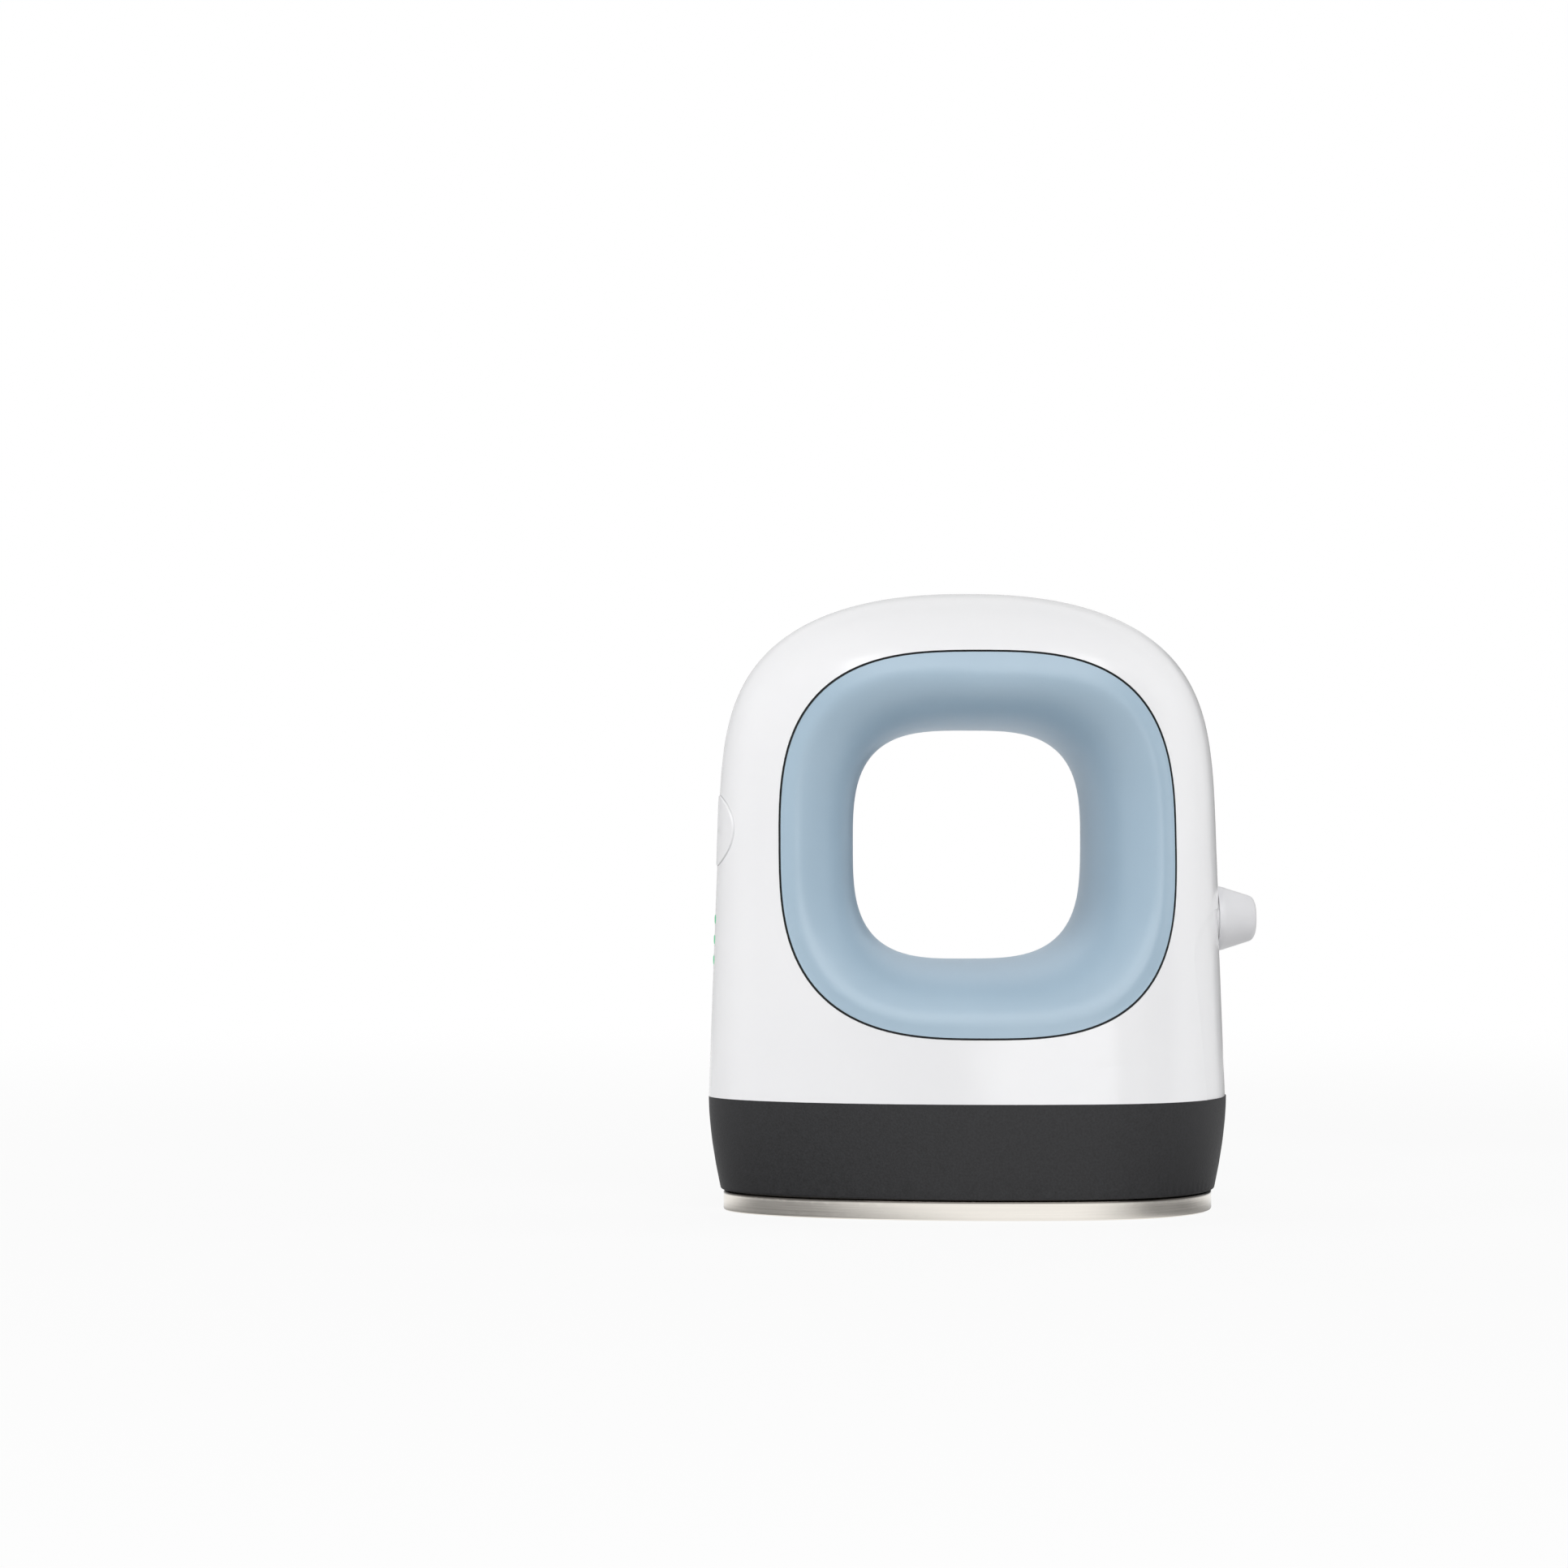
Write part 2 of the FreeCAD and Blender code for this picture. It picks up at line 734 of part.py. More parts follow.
def fuse_strap():
    """A strap over the thermal fuse with a foot on the plate."""
    z = plate_height + fuse_radius
    outer = rod(fuse_radius + running + strap_thickness, V(strap_x[0], 0, z), V(strap_x[1], 0, z))
    hollow = rod(fuse_radius + running, V(strap_x[0] - 1, 0, z), V(strap_x[1] + 1, 0, z))
    y_side = fuse_radius + running + strap_thickness
    legs = box(strap_x, (-y_side, y_side), (plate_height, z))
    gap = box((strap_x[0] - 1, strap_x[1] + 1), (-fuse_radius - running, fuse_radius + running),
              (plate_height - 1, z))
    foot = box(strap_x, (strap_screw_y - strap_foot_end, -fuse_radius - running),
               (plate_height, plate_height + strap_thickness))
    strap = outer.fuse([legs, foot]).cut([hollow, gap])
    x, y = strap_screw_place
    return strap.cut(post(small_screw_radius + slip, x, y, (plate_height - 1, plate_height + 2)))


def sensor_screws():
    return group([small_screw(*sensor_place, plate_height + lug_thickness, sensor_screw_length),
                  small_screw(*strap_screw_place, plate_height + strap_thickness,
                              sensor_screw_length)])


# ---------------------------------------------------------------------- collar

board_post_places = [(x, y) for x in (board_low_x + board_screw_inset,
                                      board_high_x - board_screw_inset)
                     for y in (board_screw_inset - board_half_width,
                               board_half_width - board_screw_inset)]
cord_clamp_places = [(cord_clamp_x, -cord_clamp_half_span), (cord_clamp_x, cord_clamp_half_span)]
cord_clamp_z = deck_top_z + cord_clamp_rise


def collar_outer():
    """The collar's outside: it leans in toward the plate and rounds over at the bottom."""
    wires = []
    reach = seam_z - collar_bottom_z
    steps = 7
    for step in range(steps + 1):
        drop = (reach - collar_edge_radius) * step / steps
        inset = collar_bottom_inset * (step / steps) ** collar_bottom_power
        wires.append(collar_wire(inset, seam_z - drop))
    for step in range(1, 5):
        turn = math.pi / 2 * step / 4
        inset = collar_bottom_inset + collar_edge_radius * (1 - math.cos(turn))
        z = collar_bottom_z + collar_edge_radius * (1 - math.sin(turn))
        wires.append(collar_wire(inset, z))
    return Part.makeLoft(wires[::-1], True)


def collar_wire(inset, z):
    depth_inset = inset * collar_depth_share
    return ring(egg_points(seam_half_length - inset, seam_half_depth - depth_inset, z))


def base_collar():
    mouth_length = plate_half_length - step_inset + collar_clearance
    mouth_depth = plate_half_depth - step_inset + collar_clearance
    lip_z = seam_z + lip_height
    lip_length = body_half_length(lip_z, shell_wall + slip)
    lip_depth = body_half_depth(lip_z, shell_wall + slip)
    well = egg_prism(lip_length - lip_thickness, lip_depth - lip_thickness, (deck_top_z, lip_z + 1))
    lip = egg_prism(lip_length, lip_depth, (seam_z - 1, lip_z)).cut(well)
    collar = collar_outer().cut(egg_prism(mouth_length, mouth_depth, (0, deck_z))).cut(well)
    additions = [lip]
    for x, y in board_post_places:
        additions.append(post(board_post_radius, x, y, (deck_top_z - 0.5, board_z)))
    for x, y in cord_clamp_places:
        additions.append(post(cord_post_radius, x, y, (deck_top_z - 0.5, cord_clamp_z)))
    additions.append(box((cord_clamp_x - cord_rest_half_width, cord_clamp_x + cord_rest_half_width),
                         (-cord_clamp_half_span, cord_clamp_half_span),
                         (deck_top_z - 0.5, cord_clamp_z - gland_bore_radius - cord_rest_gap)))
    for x in hook_places:
        for side in (-1, 1):
            face = hook_face_depth(x)
            additions.append(hook_box(x, side, (face - hook_thickness, face),
                                      (deck_top_z - 0.5, hook_top_z)))
            additions.append(hook_box(x, side, (face - 0.1, face + hook_barb),
                                      (ledge_top_z, hook_top_z)))
    collar = collar.fuse(additions)
    cuts = [post(screw_radius + slip, x, y, (deck_z - 1, deck_top_z + 1))
            for x, y in plate_screw_places]
    cuts.append(post(lead_hole_radius, lead_hole_x, 0, (deck_z - 1, deck_top_z + 1)))
    for x, y in board_post_places:
        cuts.append(post(small_screw_radius + running, x, y,
                         (board_z - board_screw_bite - 0.6, board_z + 1)))
    for x, y in cord_clamp_places:
        cuts.append(post(small_screw_radius + running, x, y,
                         (cord_clamp_z - cord_screw_bite - 1, cord_clamp_z + 1)))
    return collar.cut(cuts)


# ------------------------------------------------------------------ main board

def main_board():
    board = rounded_box((board_low_x, board_high_x), (-board_half_width, board_half_width),
                        (board_z, board_top_z), board_corner_radius)
    return board.cut([post(small_screw_radius + slip, x, y, (board_z - 1, board_top_z + 1))
                      for x, y in board_post_places])


def board_screws():
    return group([small_screw(x, y, board_top_z, board_thickness + board_screw_bite)
                  for x, y in board_post_places])


terminal_edge_gap = 5.0
terminal_depth = 7.0
terminal_pitch = 4.2
terminal_height = 9.0
terminal_entry_radius = 1.3
terminal_screw_radius = 1.5
terminal_screw_drop = 3.6
terminal_screw_height = 2.0
terminal_screw_slot = 0.7
terminal_entry_rise = 3.2
terminal_x = (board_high_x - terminal_edge_gap - terminal_depth, board_high_x - terminal_edge_gap)
terminal_places = [terminal_pitch * (index - 1.5) for index in range(4)]
terminal_entry_z = board_top_z + terminal_entry_rise
terminal_top_z = board_top_z + terminal_height
terminal_screw_z = terminal_top_z - terminal_screw_drop


def terminal_block():
    """Four screw clamps in a row; the leads enter from the cord end."""
    width = terminal_pitch * 2
    block = box(terminal_x, (-width, width), (board_top_z, terminal_top_z))
    cuts = []
    for y in terminal_places:
        cuts.append(rod(terminal_entry_radius, V(terminal_x[0] + 2, y, terminal_entry_z),
                        V(terminal_x[1] + 1, y, terminal_entry_z)))
        cuts.append(post(terminal_screw_radius, sum(terminal_x) / 2, y,
                         (terminal_screw_z, terminal_top_z + 1)))
    return block.cut(cuts)


def terminal_screws():
    screws = []
    head_top_z = terminal_screw_z + terminal_screw_height
    for y in terminal_places:
        x = sum(terminal_x) / 2
        head = post(terminal_screw_radius - running, x, y, (terminal_screw_z, head_top_z))
        slot = box((x - 0.25, x + 0.25), (y - 2, y + 2),
                   (head_top_z - terminal_screw_slot, head_top_z + 1))
        screws.append(head.cut(slot))
    return group(screws)


triac_legs_gap = 3.5
triac_length = 8.8
triac_width = 10.0
triac_height = 4.2
triac_tab_length = 4.6
triac_tab_thickness = 1.3
triac_hole_radius = 1.6
triac_edge_gap = 1.5
triac_leg_pitch = 2.54
triac_leg_width = 0.8
triac_leg_thickness = 0.5
triac_leg_rise = 2.0
triac_leg_reach = 3.0


def triac():
    """A power switch lying on its tab, with three legs bent to the board."""
    high_x = terminal_x[0] - triac_legs_gap
    x = (high_x - triac_length, high_x)
    low_y = triac_edge_gap - board_half_width
    y = (low_y, low_y + triac_width)
    middle_y = sum(y) / 2
    tab = box((x[0] - triac_tab_length, x[1]), y, (board_top_z, board_top_z + triac_tab_thickness))
    tab = tab.cut(post(triac_hole_radius, x[0] - triac_tab_length / 2, middle_y,
                       (board_top_z - 1, board_top_z + triac_tab_thickness + 1)))
    case = box(x, y, (board_top_z + 0.2, board_top_z + 0.2 + triac_height))
    parts = [tab, case]
    leg_top = board_top_z + triac_leg_rise + triac_leg_thickness
    leg_end = x[1] + triac_leg_reach
    for index in (-1, 0, 1):
        leg_y = middle_y + index * triac_leg_pitch
        width = (leg_y - triac_leg_width / 2, leg_y + triac_leg_width / 2)
        parts.append(box((x[1] - 0.5, leg_end), width, (leg_top - triac_leg_thickness, leg_top)))
        parts.append(box((leg_end - triac_leg_thickness, leg_end), width, (board_top_z, leg_top)))
    return fuse(parts)


film_length = 13.0
film_width = 5.2
film_height = 10.5
film_edge_radius = 0.8
film_terminal_gap = 1.5
film_edge_gap = 0.5


def film_capacitor():
    high_x = terminal_x[0] - film_terminal_gap
    high_y = board_half_width - film_edge_gap
    return rounded_box((high_x - film_length, high_x), (high_y - film_width, high_y),
                       (board_top_z, board_top_z + film_height), film_edge_radius)


def round_can(radius, x, y, height, edge_radius):
    """An upright can on the board with a rounded top edge."""
    top_z = board_top_z + height
    can = post(radius, x, y, (board_top_z, top_z))
    top = [edge for edge in can.Edges if edge.BoundBox.ZMin > top_z - 0.01]
    return can.makeFillet(edge_radius, top)


bulk_radius = 3.6
bulk_height = 11.5
bulk_edge_radius = 0.6
bulk_terminal_gap = 5.3
bulk_film_gap = 0.6
bulk_y = board_half_width - film_edge_gap - film_width - bulk_film_gap - bulk_radius


def bulk_capacitor():
    return round_can(bulk_radius, terminal_x[0] - bulk_terminal_gap, bulk_y, bulk_height,
                     bulk_edge_radius)


fuse_can_radius = 4.0
fuse_can_height = 7.0
fuse_can_edge_radius = 0.5
fuse_can_x_gap = 10.0
fuse_can_y_gap = 4.2


def board_fuse():
    return round_can(fuse_can_radius, board_low_x + fuse_can_x_gap,
                     board_half_width - fuse_can_y_gap, fuse_can_height, fuse_can_edge_radius)


inductor_flange_radius = 3.6
inductor_core_radius = 2.9
inductor_height = 8.2
inductor_flange_height = 1.2
inductor_x_gap = 9.9
inductor_y_gap = 6.0


def supply_inductor():
    x = board_low_x + inductor_x_gap
    y = inductor_y_gap - board_half_width
    top_z = board_top_z + inductor_height
    flanges = [post(inductor_flange_radius, x, y, z)
               for z in ((board_top_z, board_top_z + inductor_flange_height),
                         (top_z - inductor_flange_height, top_z))]
    core = post(inductor_core_radius, x, y,
                (board_top_z + inductor_flange_height / 2, top_z - inductor_flange_height / 2))
    return fuse(flanges + [core])


chip_x_gap = 9.4
chip_fuse_gap = 0.3
chip_half_length = 3.4
chip_half_width = 2.6
chip_height = 1.6
chip_lift = 0.15
chip_leg_count = 6
chip_leg_pitch = 1.1
chip_leg_width = 0.4
chip_leg_reach = 0.9
chip_leg_height = 0.5
chip_y = (board_half_width - fuse_can_y_gap - fuse_can_radius - chip_fuse_gap
          - chip_half_length)


def microcontroller():
    x = board_low_x + chip_x_gap
    case = box((x - chip_half_width, x + chip_half_width),
               (chip_y - chip_half_length, chip_y + chip_half_length),
               (board_top_z + chip_lift, board_top_z + chip_height))
    legs = []
    for side in (-1, 1):
        for index in range(chip_leg_count):
            leg_y = chip_y + (index - (chip_leg_count - 1) / 2) * chip_leg_pitch
            low, high = sorted((x + side * (chip_half_width - 0.1),
                                x + side * (chip_half_width + chip_leg_reach)))
            legs.append(box((low, high), (leg_y - chip_leg_width / 2, leg_y + chip_leg_width / 2),
                            (board_top_z, board_top_z + chip_leg_height)))
    return fuse([case] + legs)


plug_wall = 0.7
panel_plug_gap = 0.6
panel_plug_width = 4.2
panel_plug_half_length = 6.0
panel_plug_height = 6.0
panel_plug_floor = 4.2
sensor_plug_length = 6.0
sensor_plug_width = 4.2
sensor_plug_height = 5.0
sensor_plug_reach = 2.0
sensor_plug_floor = 1.5
sensor_plug_gap = 1.0
panel_plug_x = (board_low_x + panel_plug_gap, board_low_x + panel_plug_gap + panel_plug_width)
panel_plug_z = board_top_z + panel_plug_height
sensor_plug_x = (terminal_x[1] - sensor_plug_length, terminal_x[1])
sensor_plug_low_y = terminal_pitch * 2 + sensor_plug_gap
sensor_plug_y = (sensor_plug_low_y, sensor_plug_low_y + sensor_plug_width)


def panel_connector():
    half_length = panel_plug_half_length
    shell = box(panel_plug_x, (-half_length, half_length), (board_top_z, panel_plug_z))
    return shell.cut(box((panel_plug_x[0] + plug_wall, panel_plug_x[1] - plug_wall),
                         (plug_wall - half_length, half_length - plug_wall),
                         (board_top_z + panel_plug_floor, panel_plug_z + 1)))


def sensor_connector():
    top_z = board_top_z + sensor_plug_height
    shell = box(sensor_plug_x, sensor_plug_y, (board_top_z, top_z))
    return shell.cut(box((sensor_plug_x[1] - sensor_plug_reach, sensor_plug_x[1] + 1),
                         (sensor_plug_y[0] + plug_wall, sensor_plug_y[1] - plug_wall),
                         (board_top_z + sensor_plug_floor, top_z - plug_wall)))


# ------------------------------------------------------------- nose controls

def panel_board():
    board = box((panel_x, panel_x + panel_thickness), (-panel_half_width, panel_half_width),
                (panel_low_z, panel_high_z))
    return board.cut([rod(small_screw_radius + slip, V(panel_x - 1, 0, z), V(panel_x + 4, 0, z))
                      for z in panel_screw_places])


def panel_screws():
    """Two screws driven toward the nose into the shell's posts."""
    screws = []
    back_x = panel_x + panel_thickness
    for z in panel_screw_places:
        upright = small_screw(0, 0, 0, panel_thickness + panel_screw_bite)
        upright.rotate(V(0, 0, 0), y_axis, 90)
        upright.translate(V(back_x, 0, z))
        screws.append(upright)
    return group(screws)


def tact_switch():
    case = box((panel_x - switch_depth, panel_x), (-switch_half_width, switch_half_width),
               (button_z - switch_half_width, button_z + switch_half_width))
    return case.cut(rod(plunger_radius + running, V(panel_x - switch_depth - 1, 0, button_z),
                        V(panel_x - switch_depth + switch_well, 0, button_z)))


def switch_plunger():
    return rod(plunger_radius, V(plunger_x, 0, button_z),
               V(panel_x - switch_depth + plunger_depth, 0, button_z))


def power_button():
    """A round cap that follows the nose, with two tabs behind the wall and a stem."""
    bore = rod(button_radius, V(-clear_x, 0, button_z), V(tab_x + button_tab_thickness, 0, button_z))
    cap = body(-button_proud).common(bore)
    reach = button_radius + button_tab_reach
    tabs = box((tab_x, tab_x + button_tab_thickness),
               (-button_tab_half_width, button_tab_half_width),
               (button_z - reach, button_z + reach))
    stem = rod(button_stem_radius, V(tab_x, 0, button_z), V(plunger_x, 0, button_z))
    return cap.fuse([tabs, stem])


def status_leds():
    return group([box((panel_x - led_depth, panel_x), (-led_half_width, led_half_width),
                      (z - led_half_height, z + led_half_height)) for z in light_places])


def light_pipes():
    """Three clear rods on one bar that stands on the panel board."""
    bar_x = (panel_x - pipe_bar_gap - pipe_bar_thickness, panel_x - pipe_bar_gap)
    bar_z = (light_places[0] - pipe_bar_reach, light_places[2] + pipe_bar_reach)
    bar = box(bar_x, (-pipe_bar_half_width, pipe_bar_half_width), bar_z)
    feet = [rod(pipe_foot_radius, V(bar_x[1] - 0.5, 0, z), V(panel_x, 0, z))
            for z in (bar_z[0] + pipe_foot_inset, bar_z[1] - pipe_foot_inset)]
    rods = [rod(light_radius, V(-clear_x, 0, z), V(panel_x - led_depth - part_gap, 0, z)).common(body())
            for z in light_places]
    return fuse([bar] + feet + rods)


# ------------------------------------------------------------------- cord end

def cord_gland():
    """A tapered stub outside, a neck through the wall and a groove for the clip inside."""
    length = gland_tip_x - gland_seat_x
    stub = Part.makeCone(gland_root_radius, gland_tip_radius, length,
                         V(gland_seat_x, 0, gland_z), x_axis)
    tip = [edge for edge in stub.Edges
           if edge.BoundBox.XMin > gland_tip_x - 0.01 and edge.BoundBox.XMax < gland_tip_x + 0.01]
    stub = stub.makeFillet(gland_tip_edge, tip)
    inner_end = gland_inner_seat_x - gland_inside_length
    neck = rod(gland_neck_radius - running, V(inner_end, 0, gland_z), V(gland_seat_x + 1, 0, gland_z))
    clip_x = gland_inner_seat_x - clip_thickness - 2 * running
    groove = rod(gland_neck_radius + 1, V(clip_x, 0, gland_z), V(gland_inner_seat_x, 0, gland_z))
    groove = groove.cut(rod(clip_inner_radius - running, V(clip_x - 1, 0, gland_z),
                            V(gland_inner_seat_x + 1, 0, gland_z)))
    bore = rod(gland_bore_radius, V(inner_end - 1, 0, gland_z), V(gland_tip_x + 1, 0, gland_z))
    return stub.fuse(neck).cut([groove, bore])


def gland_clip():
    start_x = gland_inner_seat_x - clip_thickness - running
    end_x = gland_inner_seat_x - running
    plate = rod(clip_outer_radius, V(start_x, 0, gland_z), V(end_x, 0, gland_z))
    slot = rod(clip_inner_radius, V(start_x - 1, 0, gland_z), V(end_x + 1, 0, gland_z))
    mouth = box((start_x - 1, end_x + 1), (-clip_inner_radius + 0.4, clip_inner_radius - 0.4),
                (gland_z - clip_outer_radius - 1, gland_z))
    return plate.cut([slot, mouth])


def cord_clamp():
    """A bar across two posts that holds the cord down."""
    half_span = cord_clamp_half_span + cord_post_radius
    top_z = cord_clamp_z + cord_clamp_height
    bar = rounded_box((cord_clamp_x - cord_clamp_half_width, cord_clamp_x + cord_clamp_half_width),
                      (-half_span, half_span), (cord_clamp_z, top_z), cord_clamp_half_width / 2)
    z = cord_clamp_z - cord_clamp_height * 0.3
    cuts = [rod(gland_bore_radius, V(cord_clamp_x - cord_clamp_half_width - 1, 0, z),
                V(cord_clamp_x + cord_clamp_half_width + 1, 0, z))]
    for x, y in cord_clamp_places:
        cuts.append(post(small_screw_radius + slip, x, y, (cord_clamp_z - 1, top_z + 1)))
    return bar.cut(cuts)


def cord_clamp_screws():
    return group([small_screw(x, y, cord_clamp_z + cord_clamp_height,
                              cord_clamp_height + cord_screw_bite) for x, y in cord_clamp_places])


# ----------------------------------------------------------------------- leads

def heater_leads():
    """Two leads from the heater's pins, up through the deck to the terminal block."""
    leads = []
    pin_end = tube_end_x + pin_length
    for side in (-1, 1):
        route = [V(pin_end, side * tube_run_y, plate_height),
                 V(pin_end + 2.8, side * tube_run_y, plate_height),
                 V(pin_end + 3.5, side * 6.5, plate_height + 2.6),
                 V(lead_hole_x + 0.6, side * 2.2, plate_height + 4),
                 V(lead_hole_x, side * 1.4, deck_z),
                 V(lead_hole_x, side * 1.4, board_z),
                 V(lead_hole_x - 3, side * terminal_places[3], terminal_entry_z),
                 V(terminal_x[0] + 3, side * terminal_places[3], terminal_entry_z)]
        leads.append(bent_tube(route, lead_radius))
    return group(leads)


def sensor_leads():
    """The temperature sensor's lead, between the heater's legs and up to its connector."""
    x, y = sensor_place
    z = plate_height + bead_radius
    plug_y = sum(sensor_plug_y) / 2
    plug_z = board_top_z + 2.9
    route = [V(x, y + bead_end, z), V(x, y + 5.1, z), V(x + 4, y + 4.9, z),
             V(terminal_x[0], y + 4.9, z), V(lead_hole_x - 4, 4.0, z + 0.8),
             V(lead_hole_x - 1.9, 0, deck_z - 1.5), V(lead_hole_x - 1.9, 0, deck_top_z + 1.5),
             V(lead_hole_x - 1.5, 9.5, board_z), V(sensor_plug_x[1] + 4, plug_y, plug_z),
             V(sensor_plug_x[1] - 1.9, plug_y, plug_z)]
    return bent_tube(route, sensor_lead_radius)


def panel_leads():
    """The flat lead from the panel board down to its connector on the main board."""
    start_x = panel_x + panel_thickness
    plug_x = sum(panel_plug_x) / 2
    start_z = panel_low_z + panel_lead_rise
    end_z = board_top_z + panel_plug_floor + 0.05
    route = [V(start_x, 0, start_z), V(start_x + panel_lead_reach, 0, start_z),
             V(plug_x, 0, start_z - panel_lead_drop), V(plug_x, 0, end_z)]
    return bent_tube(route, panel_lead_radius)


# ------------------------------------------------------------------ write files

pieces = {
    "body_shell": body_shell,
    "front_grip": front_grip,
    "rear_grip": rear_grip,
    "front_grip_seal": lambda: rim_seal(-1),
    "rear_grip_seal": lambda: rim_seal(1),
    "base_collar": base_collar,
    "heat_plate": heat_plate,
    "heater_tube": heater_tube,
    "heater_pins": heater_pins,
    "heater_end_seals": heater_end_seals,
    "heater_clamp": heater_clamp,
    "clamp_screws": clamp_screws,
    "plate_spacers": plate_spacers,
    "plate_screws": plate_screws,
    "insulation_pad": insulation_pad,
    "heat_shield": heat_shield,
    "temperature_sensor": temperature_sensor,
    "thermal_fuse": thermal_fuse,
    "fuse_strap": fuse_strap,
    "sensor_screws": sensor_screws,
    "main_board": main_board,
    "board_screws": board_screws,
    "terminal_block": terminal_block,
    "terminal_screws": terminal_screws,
    "triac": triac,
    "film_capacitor": film_capacitor,
    "bulk_capacitor": bulk_capacitor,
    "supply_inductor": supply_inductor,
    "microcontroller": microcontroller,
    "board_fuse": board_fuse,
    "panel_connector": panel_connector,
    "sensor_connector": sensor_connector,
    "panel_board": panel_board,
    "panel_screws": panel_screws,
    "tact_switch": tact_switch,
    "switch_plunger": switch_plunger,
    "power_button": power_button,
    "status_leds": status_leds,
    "light_pipes": light_pipes,
    "cord_gland": cord_gland,
    "gland_clip": gland_clip,
    "cord_clamp": cord_clamp,
    "cord_clamp_screws": cord_clamp_screws,
    "heater_leads": heater_leads,
    "sensor_leads": sensor_leads,
    "panel_leads": panel_leads,
}

os.makedirs("parts", exist_ok=True)
for name, make in pieces.items():
    shape = make()
    shape.exportStep(f"parts/{name}.step")
    print(f"{name}: {len(shape.Solids)} solids, {shape.Volume:.1f} mm3, valid {shape.isValid()}")
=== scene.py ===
import math

import bmesh
import bpy
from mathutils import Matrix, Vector


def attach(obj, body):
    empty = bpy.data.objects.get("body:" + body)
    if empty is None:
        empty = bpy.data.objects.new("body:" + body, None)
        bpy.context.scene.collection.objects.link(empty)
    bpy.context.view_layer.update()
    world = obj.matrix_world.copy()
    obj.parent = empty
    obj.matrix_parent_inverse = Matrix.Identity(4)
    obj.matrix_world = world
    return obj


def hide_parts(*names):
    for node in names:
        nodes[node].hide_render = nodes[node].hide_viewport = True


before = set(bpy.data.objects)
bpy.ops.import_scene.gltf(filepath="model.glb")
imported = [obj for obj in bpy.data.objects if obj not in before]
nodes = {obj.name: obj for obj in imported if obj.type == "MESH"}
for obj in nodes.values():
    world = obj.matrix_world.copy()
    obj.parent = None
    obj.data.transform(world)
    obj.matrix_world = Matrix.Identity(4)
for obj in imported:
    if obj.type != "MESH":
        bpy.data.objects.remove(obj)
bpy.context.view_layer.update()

mm = 0.001
print("frame loaded:", len(nodes), "nodes")


# Camera: level with the middle of the object, a little toward the button end.

cameraSettings = {
    "place": (-88.4, -744.8, 68.8),     # mm
    "turn": 4.41,                       # degrees to the right of straight ahead
    "tilt": 0.2,                        # degrees up
    "lens": 102.15,
    "sensor": 36.0,
    "clipStart": 10.0,                  # mm
}


def addCamera(settings):
    data = bpy.data.cameras.new("viewCamera")
    data.lens = settings["lens"]
    data.sensor_width = settings["sensor"]
    data.clip_start = settings["clipStart"] * mm
    camera = bpy.data.objects.new("viewCamera", data)
    bpy.context.collection.objects.link(camera)
    camera.location = Vector(settings["place"]) * mm
    camera.rotation_euler = (math.radians(90 + settings["tilt"]), 0,
                             -math.radians(settings["turn"]))
    bpy.context.scene.camera = camera


addCamera(cameraSettings)
print("camera set")


# Node helpers

def linear(hexColour):      # sRGB hex to linear RGBA
    parts = [int(hexColour[i:i + 2], 16) / 255 for i in (0, 2, 4)]
    return [c / 12.92 if c <= 0.04045 else ((c + 0.055) / 1.055) ** 2.4 for c in parts] + [1.0]


def perMetre(size):         # a pattern's size in mm to a texture scale in metres
    return 1 / (size * mm)


def addNode(tree, kind, settings=None, links=None):
    node = tree.nodes.new(kind)
    for key, value in (settings or {}).items():
        if isinstance(key, int) or key in node.inputs:
            node.inputs[key].default_value = value
        else:
            setattr(node, key, value)
    for key, source in (links or {}).items():
        tree.links.new(source, node.inputs[key])
    return node


def newMaterial(name, shared):
    # One Principled shader; what is the same all over the surface is set on its own sockets.
    material = bpy.data.materials.new(name)
    material.use_nodes = True
    tree = material.node_tree
    shader = tree.nodes["Principled BSDF"]
    for key, value in shared.items():
        shader.inputs[key].default_value = linear(value) if isinstance(value, str) else value
    place = addNode(tree, "ShaderNodeTexCoord").outputs["Object"]
    return material, tree, shader, place


def dressShader(tree, shader, look, tint=None, gloss=None, relief=None):
    # Patterns drive the colour, the roughness and the height; returns the colour.
    hue = None
    if tint is not None:
        darker, lighter = look["hue"]
        mix = addNode(tree, "ShaderNodeMix",
                      {"data_type": "RGBA", 6: linear(darker), 7: linear(lighter)}, {0: tint})
        hue = mix.outputs[2]
        tree.links.new(hue, shader.inputs["Base Color"])
    if gloss is not None:
        low, high = look["roughness"]
        spread = addNode(tree, "ShaderNodeMapRange", {"To Min": low, "To Max": high},
                         {"Value": gloss})
        tree.links.new(spread.outputs["Result"], shader.inputs["Roughness"])
    if relief is not None:
        bump = addNode(tree, "ShaderNodeBump", {"Distance": look["depth"] * mm},
                       {"Height": relief})
        tree.links.new(bump.outputs["Normal"], shader.inputs["Normal"])
    return hue


# Outer finishes: hues from darker to lighter, sizes and depths in mm.

